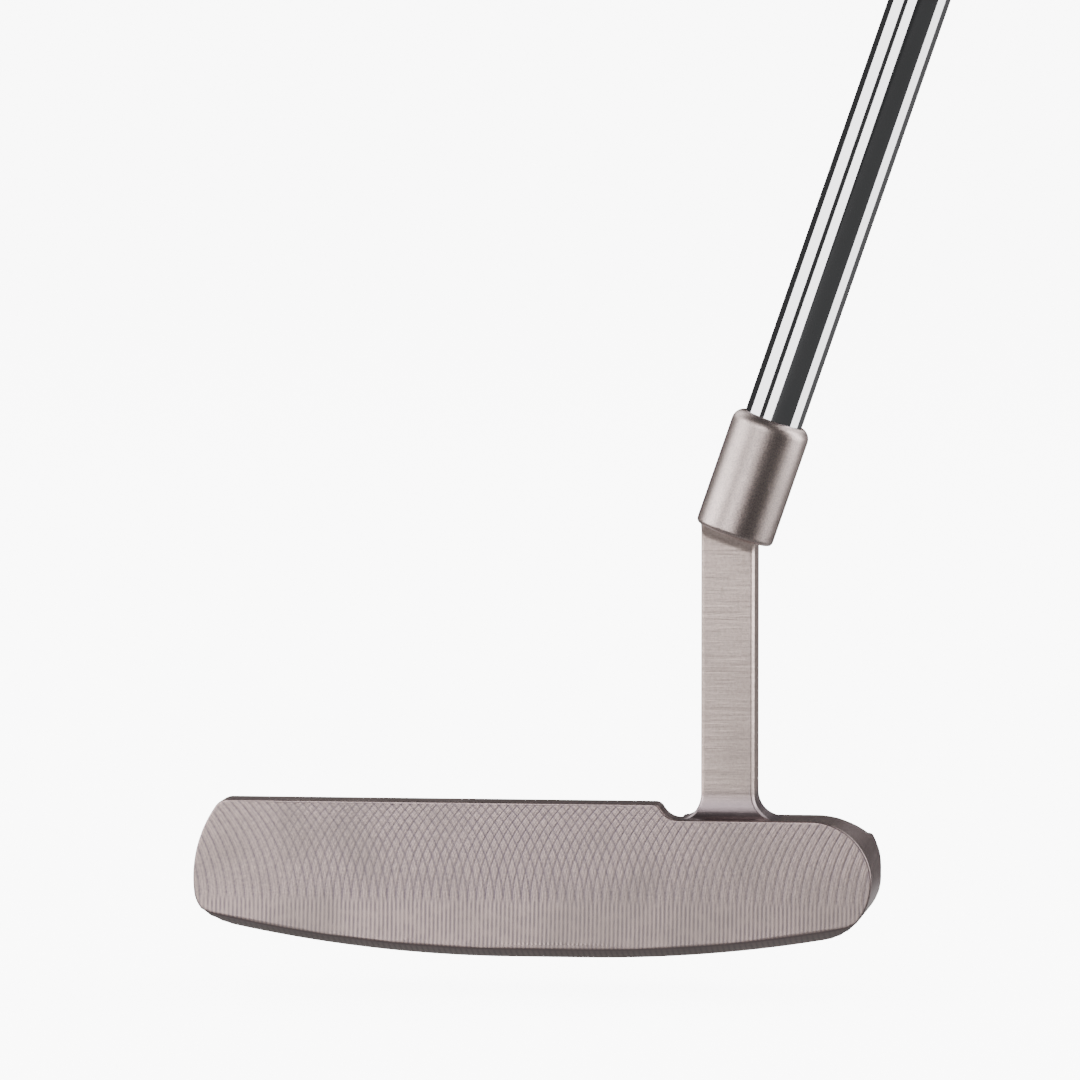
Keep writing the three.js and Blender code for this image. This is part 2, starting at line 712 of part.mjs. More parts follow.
function soleWeight() {
  const body = turned(
    [
      [0, WEIGHT_END],
      [WEIGHT_THREAD_DIAMETER / 2, WEIGHT_END],
      [WEIGHT_THREAD_DIAMETER / 2, WEIGHT_HEAD_INNER],
      [WEIGHT_HEAD_DIAMETER / 2, WEIGHT_HEAD_INNER],
      [WEIGHT_HEAD_DIAMETER / 2, -WEIGHT_RECESS - EDGE_BREAK],
      [WEIGHT_HEAD_DIAMETER / 2 - EDGE_BREAK, -WEIGHT_RECESS],
      [0, -WEIGHT_RECESS],
    ],
    36,
  );
  const corner = WEIGHT_SOCKET / 2 / Math.cos(Math.PI / 6);
  const socket = rod(corner, -WEIGHT_RECESS - WEIGHT_SOCKET_DEPTH, 1, 6);
  return geometryOf(solid(body).subtract(solid(socket)));
}

function weightRing() {
  const inner = WEIGHT_THREAD_DIAMETER / 2 + GAP;
  const outer = WEIGHT_HEAD_DIAMETER / 2;
  return tube(inner, outer, WEIGHT_RING_TOP - WEIGHT_RING_THICKNESS, WEIGHT_RING_TOP, 36);
}

// ---- assembly -----------------------------------------------------------------------------------

const FINISHES = {
  milledSteel: { color: 0xb0a29f, roughness: 0.38, metalness: 1 },
  blastedSteel: { color: 0xb9aea9, roughness: 0.45, metalness: 1 },
  chrome: { color: 0xe6e8ec, roughness: 0.05, metalness: 1 },
  weightSteel: { color: 0xc4c0bb, roughness: 0.3, metalness: 1 },
  grip: { color: 0x1c1c1e, roughness: 0.75, metalness: 0 },
  gripCap: { color: 0x161618, roughness: 0.55, metalness: 0 },
  seal: { color: 0x101010, roughness: 0.7, metalness: 0 },
  plug: { color: 0x8a6a48, roughness: 0.9, metalness: 0 },
  tape: { color: 0xd8cfae, roughness: 0.85, metalness: 0 },
  paint: { color: 0xf2f2ee, roughness: 0.5, metalness: 0 },
};

function piece(name, geometry, finish) {
  const mesh = new THREE.Mesh(geometry, new THREE.MeshStandardMaterial(FINISHES[finish]));
  mesh.name = name;
  return mesh;
}

function weightGroup(side, x) {
  const group = weightFrame(x);
  group.add(
    piece(`${side}_weight`, soleWeight(), "weightSteel"),
    piece(`${side}_weight_ring`, weightRing(), "seal"),
  );
  return group;
}

const club = new THREE.Group();
club.position.y = FACE_Y;
club.add(
  piece("head_body", headBody(), "milledSteel"),
  piece("sight_line_fill", sightLineFill(), "paint"),
  piece("plumbers_neck", plumbersNeck(), "blastedSteel"),
  weightGroup("toe", TOE_WEIGHT_X),
  weightGroup("heel", HEEL_WEIGHT_X),
);

const shaftGroup = shaftFrame();
shaftGroup.add(
  piece("shaft", shaft(), "chrome"),
  piece("shaft_tip_plug", tipPlug(), "plug"),
  piece("grip_tape", gripTape(), "tape"),
  piece("grip_sleeve", gripSleeve(), "grip"),
  piece("grip_end_cap", gripCap(), "gripCap"),
);
club.add(shaftGroup);

const putter = new THREE.Group();
putter.add(club);

export default putter;
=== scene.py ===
"""A milled blade putter with a plumber's neck, a bright steel shaft and a pistol grip.

The CAD parts are the fixed frame. Every piece here is built round them, in metres: +Z is up, the
face looks along -Y, the toe is at -X, and the heel, the shaft and the grip lie to +X.
"""

import json
import math

import bmesh
import bpy
import numpy as np
from bpy.props import FloatProperty, FloatVectorProperty, IntProperty, PointerProperty
from mathutils import Matrix, Vector
from mathutils.geometry import delaunay_2d_cdt

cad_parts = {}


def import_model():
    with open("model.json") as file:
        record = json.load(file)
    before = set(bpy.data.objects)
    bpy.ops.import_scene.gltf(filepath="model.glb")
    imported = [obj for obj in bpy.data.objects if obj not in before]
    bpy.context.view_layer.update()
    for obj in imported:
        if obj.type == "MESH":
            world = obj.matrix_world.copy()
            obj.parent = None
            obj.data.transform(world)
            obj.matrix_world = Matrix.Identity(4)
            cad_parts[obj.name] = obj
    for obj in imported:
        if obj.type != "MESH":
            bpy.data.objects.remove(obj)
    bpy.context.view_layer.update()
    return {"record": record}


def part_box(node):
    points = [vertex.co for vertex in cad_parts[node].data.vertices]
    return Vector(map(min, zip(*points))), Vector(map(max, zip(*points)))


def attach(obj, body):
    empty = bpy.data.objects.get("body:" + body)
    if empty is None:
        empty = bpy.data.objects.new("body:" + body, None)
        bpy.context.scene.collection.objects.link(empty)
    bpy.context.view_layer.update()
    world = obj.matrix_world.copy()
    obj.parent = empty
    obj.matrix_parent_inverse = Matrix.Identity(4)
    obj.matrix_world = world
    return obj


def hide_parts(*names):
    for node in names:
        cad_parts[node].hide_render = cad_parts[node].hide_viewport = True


bl_info = {
    "name": "Blade Putter",
    "version": (1, 0, 0),
    "blender": (4, 5, 0),
    "location": "3D View > Sidebar > Putter",
    "description": "Builds a milled blade putter and a small studio round it",
    "category": "Object",
}

MM = 0.001
TARNISH = (0.30, 0.265, 0.25)

# Details of the outline: the rounds are shares of the head's height, and the angle is in degrees.
HEEL_ROUND = 0.384
TOE_ROUND = 0.784
TOE_CENTRE = 0.51
TOE_TOP_ROUND = 0.098
TOE_LOWER_ROUND = 0.204
TOE_LOWER_ANGLE = 187.0
STEP_HOLLOW = 3.3 * MM
STEP_CREST = 1.5 * MM
SOLE_LIP = 0.3 * MM

# Details of the cuts and of the grip.
NECK_PAD = 0.6 * MM
POCKET_ROUND = 4.0 * MM
LINE_REACH = 0.3 * MM
TAPE_STRIP = 18.0 * MM
MOUTH_ROUND = 0.8 * MM
TAIL_ROUND = 0.3 * MM
CAP_RIM = 1.4 * MM

# How strong each family of arcs is across the face: from x, to x, from share, to share.
TOE_ARCS = (0.0, 50.0 * MM, 1.0, 0.4)
HEEL_ARCS = (-54.0 * MM, -30.0 * MM, 0.15, 0.95)
SEAM_BELOW = 1.2 * MM
SEAM_ABOVE = 0.6 * MM


# ---- settings ------------------------------------------------------------------------------------


def length(name, millimetres, description):
    """A length for the panel, given here in millimetres."""
    return FloatProperty(
        name=name,
        description=description,
        default=millimetres * MM,
        min=0.0,
        precision=5,
        unit="LENGTH",
    )


def share(name, default, description):
    """A share from nothing to all, for the panel."""
    return FloatProperty(
        name=name,
        description=description,
        default=default,
        min=0.0,
        max=1.0,
        subtype="FACTOR",
    )


def angle(name, degrees, description):
    """An angle for the panel, given here in degrees."""
    return FloatProperty(
        name=name,
        description=description,
        default=math.radians(degrees),
        subtype="ANGLE",
    )


def radiance(name, default, description):
    """The strength of a light, for the panel."""
    return FloatProperty(name=name, description=description, default=default, min=0.0)


def colour(name, default, description):
    """A colour for the panel."""
    return FloatVectorProperty(
        name=name,
        description=description,
        default=default,
        min=0.0,
        max=1.0,
        size=3,
        subtype="COLOR",
    )


class HeadSettings(bpy.types.PropertyGroup):
    depth: length("Depth", 27.0, "From the leading edge to the trailing edge")
    shelf_drop: length("Shelf drop", 2.5, "From the topline down to the heel's shelf")
    sole_flat: length("Sole flat", 12.0, "Level middle of the sole, heel to toe")
    sole_radius: length("Sole radius", 225.0, "Curve of the sole towards the heel and the toe")
    front_roll: length("Front roll", 8.0, "Depth over which the sole rises to the face")
    rear_roll: length("Rear roll", 10.0, "Depth over which the sole rises to the back")
    edge_rise: length("Edge rise", 2.0, "Height of the leading edge above the ground")
    topline: length("Topline thickness", 6.4, "Width of the topline, seen from above")
    blade: length("Blade thickness", 5.0, "Metal behind the face, in the cavity")
    topline_depth: length("Topline depth", 4.5, "From the topline down to the cavity")
    bumper_height: length("Bumper height", 19.0, "Top of the bumpers behind the blade")
    slope_end: length("Slope end", 22.0, "Depth at which the heel's rear slope meets the bumper")
    bumper_step: length("Bumper step", 13.0, "Top of the bumpers' inner step")
    flange_height: length("Flange height", 8.0, "Top of the flange above the ground")
    cavity: length("Cavity length", 42.0, "Width of the cavity, heel to toe")
    cavity_step: length("Step length", 50.0, "Width between the bumpers, heel to toe")
    rear_radius: length("Rear corner radius", 9.0, "Rounding of the rear corners, seen from above")
    front_round: length("Face edge", 0.25, "Rounding of the face's outline")
    cut_round: length("Cut edge", 0.3, "Rounding of the other milled edges")
    line_width: length("Sight line width", 1.6, "Width of the groove in the flange")


class MillingSettings(bpy.types.PropertyGroup):
    radius: length("Cutter radius", 24.0, "Radius of the arcs that the fly cutter leaves")
    middle: length("Cutter height", 8.4, "Height of the cutter's middle above the ground")
    pitch: length("Feed", 1.45, "Distance between two arcs")
    depth: length("Groove depth", 0.009, "Depth of the arcs")
    seam: length("Seam height", 10.0, "Where the arcs give way to the lower pass")
    low_pitch: length("Lower feed", 0.68, "Distance between the lines of the lower pass")
    grid: length("Grid", 0.16, "Spacing of the mesh that carries the arcs")


class NeckSettings(bpy.types.PropertyGroup):
    width: length("Post width", 8.6, "Heel to toe")
    depth: length("Post depth", 8.0, "Front to back")
    setback: length("Setback", 4.0, "From the face's foot to the front of the post")
    chamfer: length("Chamfer", 0.5, "Cut corners of the post")
    toe_fillet: length("Toe fillet", 3.3, "Sweep of the post's foot towards the toe")
    heel_fillet: length("Heel fillet", 4.0, "Sweep of the post's foot towards the heel")
    front_cove: length("Front cove", 2.1, "Sweep of the post's foot towards the face")
    tenon_depth: length("Tenon depth", 8.0, "How far the tenon reaches into the heel")
    tenon_shoulder: length("Tenon shoulder", 1.3, "From the post's sides to the tenon's")
    hosel_diameter: length("Hosel diameter", 12.7, "Outside of the barrel")
    hosel_length: length("Hosel length", 19.6, "Length of the barrel")
    hosel_height: length("Hosel height", 69.4, "Middle of the barrel's lower end")
    hosel_floor: length("Hosel floor", 2.6, "Metal under the shaft")
    hosel_cove: length("Hosel cove", 3.0, "Sweep from the post into the barrel")
    top_round: length("Upper round", 2.0, "Rounding of the barrel's upper end")
    bottom_round: length("Lower round", 0.8, "Rounding of the barrel's lower end")
    bore_gap: length("Bore gap", 0.3, "Room round the shaft in the barrel")


class ShaftSettings(bpy.types.PropertyGroup):
    tip: length("Tip diameter", 9.4, "Outside of the shaft at the hosel")
    butt: length("Butt diameter", 14.7, "Outside of the shaft under the grip")
    wall: length("Wall", 0.5, "Thickness of the tube")
    parallel: length("Parallel tip", 250.0, "Length that keeps the tip's diameter")
    segments: IntProperty(
        name="Segments", description="Sides of the turned pieces", default=96, min=24
    )


class GripSettings(bpy.types.PropertyGroup):
    wall: length("Mouth wall", 1.4, "Rubber at the grip's lower end")
    width: length("Width", 26.0, "Across the flat at the butt")
    flat: length("Flat reach", 11.0, "From the shaft's axis to the flat")
    bulge: length("Bulge reach", 19.0, "From the shaft's axis to the pistol bulge")
    waist: length("Waist reach", 13.0, "From the shaft's axis to the back above the bulge")
    groove_pitch: length("Groove pitch", 4.2, "Distance between the finger grooves")
    groove_depth: length("Groove depth", 0.35, "Depth of the finger grooves")
    tape: length("Tape thickness", 0.3, "Thickness of the tape on the shaft")
    gap: length("Gap", 0.3, "Room between the layers")
    vent: length("Vent", 3.0, "Diameter of the hole in the cap")


class WeightSettings(bpy.types.PropertyGroup):
    head: length("Head diameter", 14.0, "Outside of the weight's head")
    head_depth: length("Head thickness", 2.1, "Thickness of the weight's head")
    thread: length("Thread diameter", 11.0, "Outside of the thread")
    thread_length: length("Thread length", 6.0, "Length of the thread")
    pitch: length("Thread pitch", 1.0, "Advance in one turn")
    recess: length("Recess", 0.5, "Depth of the weight's face below the sole")
    socket: length("Socket", 5.0, "Hexagon across its flats")
    socket_depth: length("Socket depth", 3.0, "Depth of the hexagon")
    ring: length("Ring thickness", 1.0, "Thickness of the seal")
    gap: length("Gap", 0.3, "Room round the weight")


class FinishSettings(bpy.types.PropertyGroup):
    # The milled steel's two colours are partly painted light. The light one paints a highlight on the
    # ridges of the real tool marks, and the dark one paints shade in their grooves. The dark one also
    # paints shade at the post's foot and colours the blast's pits.
    steel: colour("Steel", (0.49, 0.385, 0.36), "Ridges of the milled steel")
    groove: colour("Steel in the grooves", (0.23, 0.185, 0.215), "Between the ridges")
    post: colour("Post steel", (0.84, 0.69, 0.64), "The post under the barrel")
    blasted: colour("Blasted steel", (0.63, 0.53, 0.50), "The barrel")
    steel_roughness: share("Steel roughness", 0.33, "Gloss of the milled steel")
    blast_roughness: share("Blast roughness", 0.34, "Gloss of the barrel")
    chrome_roughness: share("Chrome roughness", 0.035, "Gloss of the shaft")
    handling: share("Handling marks", 0.3, "Smudges and faint tarnish")


class StageSettings(bpy.types.PropertyGroup):
    distance: length("Camera distance", 1500.0, "From the middle of the view")
    view_width: length("View width", 174.2, "Width of the picture at that distance")
    view_height: length("View height", 67.0, "Middle of the picture above the ground")
    view_shift: length("View shift", 2.1, "Middle of the picture, towards the toe")
    azimuth: angle("Azimuth", 7.0, "Turn of the camera towards the heel")
    elevation: angle("Elevation", 4.0, "How far the camera looks down")
    front_light: radiance("Front light", 4.2, "Radiance of the front panels")
    back_light: radiance("Back light", 2.2, "Radiance of the rear panels")


class PutterSettings(bpy.types.PropertyGroup):
    head: PointerProperty(type=HeadSettings)
    milling: PointerProperty(type=MillingSettings)
    neck: PointerProperty(type=NeckSettings)
    shaft: PointerProperty(type=ShaftSettings)
    grip: PointerProperty(type=GripSettings)
    weight: PointerProperty(type=WeightSettings)
    finish: PointerProperty(type=FinishSettings)
    stage: PointerProperty(type=StageSettings)


# ---- places in the fixed frame -------------------------------------------------------------------


def record():
    """The part's record, kept by main() when it loads the frame."""
    return json.loads(bpy.context.scene["putter_record"])


def mount(name):
    """A mount's point and direction."""
    found = next(entry for entry in record()["mounts"] if entry["name"] == name)
    return Vector(found["pos_m"]), Vector(found["axis"])


def face_plane():
    """The y of the face's foot, and the tangent of the loft."""
    point, direction = mount("striking_face")
    lean = direction.z / -direction.y
    return point.y - point.z * lean, lean


def shaft_matrix():
    """The shaft's frame: its origin is where the axis meets the ground, and -X faces the toe."""
    hold, direction = mount("grip_hold")
    foot = hold - direction * (hold.z / direction.z)
    tilt = math.atan2(direction.x, direction.z)
    return Matrix.Translation(foot) @ Matrix.Rotation(tilt, 4, "Y")


def along_shaft(height, reach):
    """Where a point at a height in the room, a reach out from the axis, lies along the shaft."""
    _, direction = mount("butt_end")
    return (height + reach * direction.x) / direction.z


def outwards(turn, lift):
    """A direction away from the face, from its turn towards the heel and its rise in radians."""
    level = math.cos(lift)
    return Vector((math.sin(turn) * level, -math.cos(turn) * level, math.sin(lift)))


def weight_matrix(side):
    """A sole weight's frame: its origin is on the sole and +Z points out of the sole."""
    joints = record()["behaviour"]["joints"]
    turn = next(joint for joint in joints if joint["name"] == f"{side}_weight_turn")
    axis = Vector(turn["axis"])
    return Matrix.Translation(Vector(turn["pos_m"])) @ axis.to_track_quat("Z", "X").to_matrix().to_4x4()


# ---- meshes --------------------------------------------------------------------------------------


def arc(centre, radius, start, end, steps):
    """Points on an arc between two angles in degrees, both ends included."""
    angles = np.radians(np.linspace(start, end, steps + 1))
    return [(centre[0] + radius * math.cos(a), centre[1] + radius * math.sin(a)) for a in angles]


def mesh_object(name, points, faces):
    """A new object from points and faces, with every face turned outwards."""
    mesh = bpy.data.meshes.new(name)
    mesh.from_pydata([tuple(point) for point in points], [], faces)
    piece = bpy.data.objects.new(name, mesh)
    bpy.context.scene.collection.objects.link(piece)
    edit(piece, lambda work: bmesh.ops.recalc_face_normals(work, faces=work.faces))
    return piece


def edit(piece, change):
    """Runs a change on a piece's mesh."""
    work = bmesh.new()
    work.from_mesh(piece.data)
    change(work)
    work.to_mesh(piece.data)
    work.free()
    piece.data.update()


def strip(low, high, count):
    """Faces between two rings of points, from the numbers of their first points."""
    steps = [(i, (i + 1) % count) for i in range(count)]
    return [(low + i, low + j, high + j, high + i) for i, j in steps]


def loft(name, rings):
    """A closed solid skinned over rings of points, all of one length."""
    count = len(rings[0])
    last = (len(rings) - 1) * count
    points = [point for ring in rings for point in ring]
    faces = []
    for low in range(0, last, count):
        faces += strip(low, low + count, count)
    faces += [tuple(range(count)), tuple(range(last, last + count))]
    return mesh_object(name, points, faces)


def circle(matrix, radius, height, segments):
    """A ring of points about a frame's own +Z."""
    ring = arc((0.0, 0.0), radius, 0.0, 360.0, segments)[:-1]
    return [matrix @ Vector((x, y, height)) for x, y in ring]


def turned(name, profile, matrix, segments):
    """A solid turned about its own +Z from (radius, height) pairs, closed at both ends."""
    return loft(name, [circle(matrix, max(r, 0.02 * MM), z, segments) for r, z in profile])


def tube(name, profile, matrix, segments):
    """A hollow turned solid: the profile is a closed loop of (radius, height) pairs."""
    points, faces = [], []
    for row, (radius, height) in enumerate(profile):
        points += circle(matrix, radius, height, segments)
        above = (row + 1) % len(profile)
        faces += strip(row * segments, above * segments, segments)
    return mesh_object(name, points, faces)


def prism(name, plan, low, high):
    """A plan of (x, y) pairs drawn up from one height to another."""
    return loft(name, [[(x, y, z) for x, y in plan] for z in (low, high)])


def box(name, low, high):
    """A plain block, for cutting."""
    plan = [(low[0], low[1]), (high[0], low[1]), (high[0], high[1]), (low[0], high[1])]
    return prism(name, plan, low[2], high[2])


def rounding(start, end, count):
    """A rounding's rise and what it still lacks, as shares of its radius, at turns in degrees."""
    turns = np.radians(np.linspace(start, end, count))
    return [(1.0 - math.cos(turn), 1.0 - math.sin(turn)) for turn in turns]


def applied(piece, modifier):
    """The mesh that a modifier makes of a piece. The modifier is used up."""
    bpy.context.view_layer.update()
    graph = bpy.context.evaluated_depsgraph_get()
    mesh = bpy.data.meshes.new_from_object(piece.evaluated_get(graph))
    piece.modifiers.remove(modifier)
    return mesh


def combine(piece, other, operation):
    """Cuts, joins or intersects a piece with another, which is used up."""
    modifier = piece.modifiers.new("combine", "BOOLEAN")
    modifier.operation = operation
    modifier.solver = "EXACT"
    modifier.object = other
    piece.data = applied(piece, modifier)
    bpy.data.objects.remove(other)
    return piece


def soften(piece, width, angle):
    """Rounds every edge that is sharper than an angle in degrees."""

    def change(work):
        limit = math.radians(0.4)
        bmesh.ops.dissolve_limit(work, angle_limit=limit, verts=work.verts, edges=work.edges)
        bmesh.ops.remove_doubles(work, verts=work.verts, dist=0.02 * MM)
        sharp = [
            edge
            for edge in work.edges
            if len(edge.link_faces) == 2 and edge.calc_face_angle() > math.radians(angle)
        ]
        bmesh.ops.bevel(
            work,
            geom=sharp,
            offset=width,
            offset_type="OFFSET",
            segments=2,
            profile=0.5,
            affect="EDGES",
            clamp_overlap=False,
        )

    edit(piece, change)


def shade(piece, angle):
    """Smooth shading that breaks at edges past an angle in degrees and keeps wide flats flat."""

    def change(work):
        for face in work.faces:
            face.smooth = True
        for edge in work.edges:
            edge.smooth = len(edge.link_faces) == 2 and edge.calc_face_angle() < math.radians(angle)

    edit(piece, change)
    modifier = piece.modifiers.new("flats", "WEIGHTED_NORMAL")
    modifier.keep_sharp = True
    piece.data = applied(piece, modifier)
    return piece


def place(piece, body, nodes, material):
    """Gives a finished piece its material and its place in the fixed frame."""
    piece.data.materials.clear()
    piece.data.materials.append(material)
    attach(piece, body)
    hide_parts(*nodes)
    return piece


# ---- node trees ----------------------------------------------------------------------------------


class Graph:
    """Adds nodes to one node tree and links them."""

    def __init__(self, tree):
        self.tree = tree

    def feed(self, socket, value):
        """Links an output to a socket, or sets the socket to a plain value."""
        if isinstance(value, bpy.types.NodeSocket):
            self.tree.links.new(value, socket)
        else:
            socket.default_value = value

    def node(self, kind, inputs=None, **settings):
        """A new node with its settings and its inputs filled in."""
        made = self.tree.nodes.new(kind)
        for name, value in settings.items():
            setattr(made, name, value)
        for name, value in (inputs or {}).items():
            self.feed(made.inputs[name], value)
        return made

    def fill(self, kind, values, **settings):
        """The outputs of a new node whose inputs are filled in, in their order."""
        made = self.node(kind, **settings)
        for socket, value in zip(made.inputs, values):
            self.feed(socket, value)
        return made.outputs

    def math(self, operation, *values):
        """The result of a sum."""
        return self.fill("ShaderNodeMath", values, operation=operation)[0]

    def vectors(self, operation, *values):
        """The outputs of a sum on vectors."""
        return self.fill("ShaderNodeVectorMath", values, operation=operation)

    def fade(self, value, low, high, start=0.0, end=1.0):
        """Turns a value into a smooth fade between two results."""
        values = (value, low, high, start, end)
        return self.fill("ShaderNodeMapRange", values, interpolation_type="SMOOTHSTEP")[0]

    def blend(self, factor, first, second):
        """A mix of two colours, each an output or plain red, green and blue."""
        made = self.node("ShaderNodeMix", data_type="RGBA")
        self.feed(made.inputs[0], factor)
        for socket, tone in ((made.inputs[6], first), (made.inputs[7], second)):
            self.feed(socket, tone if isinstance(tone, bpy.types.NodeSocket) else (*tone, 1.0))
        return made.outputs[2]

    def noise(self, vector, scale, detail=3.0, roughness=0.5):
        """A cloudy value from about 0.3 to 0.7."""
        inputs = {"Vector": vector, "Scale": scale, "Detail": detail, "Roughness": roughness}
        return self.node("ShaderNodeTexNoise", inputs).outputs[0]

    def stretched(self, vector, scale):
        """A vector scaled by different amounts along its axes."""
        return self.vectors("MULTIPLY", vector, scale)[0]

    def split(self, vector):
        """The x, y and z of a vector."""
        return self.node("ShaderNodeSeparateXYZ", {0: vector}).outputs

    def group(self, name, *values):
        """The outputs of a node that holds one of the shared groups."""
        return self.fill("ShaderNodeGroup", values, node_tree=bpy.data.node_groups[name])


class Surface(Graph):
    """A new material: its node tree, its own coordinates and its Principled shader's inputs."""

    def __init__(self, name, metal=0.0):
        self.material = bpy.data.materials.new(name)
        self.material.use_nodes = True
        super().__init__(self.material.node_tree)
        self.shader = self.tree.nodes["Principled BSDF"].inputs
        self.shader["Metallic"].default_value = metal
        self.where = self.node("ShaderNodeTexCoord").outputs["Object"]

    def smudges(self, finish):
        """The marks that handling has left."""
        return self.group("Handling", self.where, finish.handling)["Mask"]

    def dress(self, tint, rough, height=None, distance=0.0):
        """Feeds the shader a colour, a roughness and a relief, and hands over the material."""
        self.feed(self.shader["Base Color"], tint)
        self.feed(self.shader["Roughness"], rough)
        if height is not None:
            relief = {"Height": height, "Distance": distance, "Strength": 1.0}
            self.feed(self.shader["Normal"], self.node("ShaderNodeBump", relief).outputs[0])
        return self.material


def new_group(name, inputs, outputs):
    """An empty shared group, as its graph, its input sockets and its output node."""
    tree = bpy.data.node_groups.new(name, "ShaderNodeTree")
    for label, kind in inputs:
        tree.interface.new_socket(label, in_out="INPUT", socket_type="NodeSocket" + kind)
    for label, kind in outputs:
        tree.interface.new_socket(label, in_out="OUTPUT", socket_type="NodeSocket" + kind)
    graph = Graph(tree)
    source = graph.node("NodeGroupInput")
    target = graph.node("NodeGroupOutput")
    return graph, source.outputs, target.inputs


def cutter_arcs_group():
    """Arcs left by a cutter that moves along a straight line: 1 in a groove and 0 between."""
    labels = ["Along", "Height", "Radius", "Middle", "Pitch", "Side", "Sharpness"]
    graph, given, result = new_group(
        "Cutter arcs", [(label, "Float") for label in labels], [("Groove", "Float")]
    )
    rise = graph.math("SUBTRACT", given["Height"], given["Middle"])
    left = graph.math(
        "SUBTRACT",
        graph.math("MULTIPLY", given["Radius"], given["Radius"]),
        graph.math("MULTIPLY", rise, rise),
    )
    reach = graph.math("SQRT", graph.math("MAXIMUM", left, 0.0))
    offset = graph.math("MULTIPLY", reach, given["Side"])
    turn = graph.math(
        "DIVIDE",
        graph.math("SUBTRACT", given["Along"], offset),
        given["Pitch"],
    )
    wave = graph.math("COSINE", graph.math("MULTIPLY", turn, 2.0 * math.pi))
    swell = graph.math("MULTIPLY_ADD", wave, 0.5, 0.5)
    graph.feed(result["Groove"], graph.math("POWER", swell, given["Sharpness"]))


def handling_group():
    """Cloudy smudges and faint specks from handling, as a mask."""
    graph, given, result = new_group(
        "Handling", [("Vector", "Vector"), ("Amount", "Float")], [("Mask", "Float")]
    )
    cloud = graph.fade(graph.noise(given["Vector"], 55.0, 4.0), 0.42, 0.68)
    speck = graph.fade(graph.noise(given["Vector"], 900.0, 2.0), 0.62, 0.72)
    both = graph.math("MAXIMUM", cloud, graph.math("MULTIPLY", speck, 0.7))
    graph.feed(result["Mask"], graph.math("MULTIPLY", both, given["Amount"]))


def tool_lines_group():
    """Fine uneven lines that run square to the stretched direction of the vector."""
    graph, given, result = new_group(
        "Tool lines", [("Vector", "Vector"), ("Scale", "Float")], [("Height", "Float")]
    )
    broad = graph.noise(given["Vector"], given["Scale"], 1.0)
    fine = graph.noise(given["Vector"], graph.math("MULTIPLY", given["Scale"], 3.1), 2.0)
    graph.feed(
        result["Height"],
        graph.math("ADD", graph.math("MULTIPLY", broad, 0.6), graph.math("MULTIPLY", fine, 0.4)),
    )


def milled_steel(settings):
    """Steel with cutter arcs on the face and finer ones on the flange, the topline and the sole."""
    finish, milling = settings.finish, settings.milling
    graph = Surface("Milled steel", 1.0)
    where = graph.where
    x, y, z = graph.split(where)
    _, facing, upward = graph.split(where.node.outputs["Normal"])
    radius, middle, pitch = milling.radius, milling.middle, milling.pitch

    def arcs(*values):
        return graph.group("Cutter arcs", *values)["Groove"]

    drift = graph.math("MULTIPLY", graph.noise(where, 60.0, 2.0), 0.4 * MM)
    across = graph.math("ADD", x, drift)
    sets = []
    for side, family in ((1.0, TOE_ARCS), (-1.0, HEEL_ARCS)):
        wide = arcs(x, z, radius, middle, pitch, side, 14.0)
        fine = arcs(across, z, radius, middle, pitch / 3.0, side, 4.0)
        both = graph.math("MULTIPLY_ADD", fine, 0.35, graph.math("MULTIPLY", wide, 0.7))
        sets.append(graph.math("MULTIPLY", both, graph.fade(x, *family)))
    upper = graph.math("MAXIMUM", sets[0], sets[1])
    upper = graph.math("MULTIPLY_ADD", graph.math("MINIMUM", sets[0], sets[1]), 0.5, upper)
    grain = graph.fade(graph.noise(where, 2600.0, 2.0), 0.35, 0.65, 0.0, 0.3)
    upper = graph.math("ADD", upper, grain)
    lower = arcs(across, z, 200.0 * MM, middle, milling.low_pitch, 1.0, 1.2)
    lower = graph.math("MULTIPLY", lower, graph.fade(graph.noise(where, 500.0), 0.3, 0.6, 0.5, 0.9))
    above = graph.fade(z, milling.seam - SEAM_BELOW, milling.seam + SEAM_ABOVE)
    face_groove = graph.blend(above, lower, upper)

    plan = arcs(x, y, 11.0 * MM, 4.0 * MM, 0.9 * MM, 1.0, 2.0)
    plan_fine = arcs(across, y, 30.0 * MM, 2.0 * MM, 0.31 * MM, -1.0, 1.0)
    plan_groove = graph.math("MULTIPLY_ADD", plan_fine, 0.4, graph.math("MULTIPLY", plan, 0.4))
    is_face = graph.fade(facing, -0.97, -0.9, 1.0, 0.0)
    is_level = graph.fade(graph.math("ABSOLUTE", upward), 0.85, 0.95)
    stretched = graph.stretched(where, (0.15, 1.0, 0.15))
    side_lines = graph.group("Tool lines", stretched, 2600.0)["Height"]
    groove = graph.blend(is_level, side_lines, plan_groove)
    groove = graph.blend(is_face, groove, face_groove)
    ridge = graph.math("SUBTRACT", 1.0, groove)

    smudge = graph.smudges(finish)
    # The tool marks' pattern is real. Their colours are partly painted light: a painted highlight on
    # the ridges and painted shade in the grooves.
    tint = graph.blend(ridge, finish.groove, finish.steel)
    tint = graph.blend(smudge, tint, TARNISH)
    rough = graph.math("MULTIPLY_ADD", ridge, -0.08, finish.steel_roughness + 0.05)
    rough = graph.math("MULTIPLY_ADD", smudge, 0.25, rough)
    return graph.dress(tint, rough, ridge, 0.012 * MM)


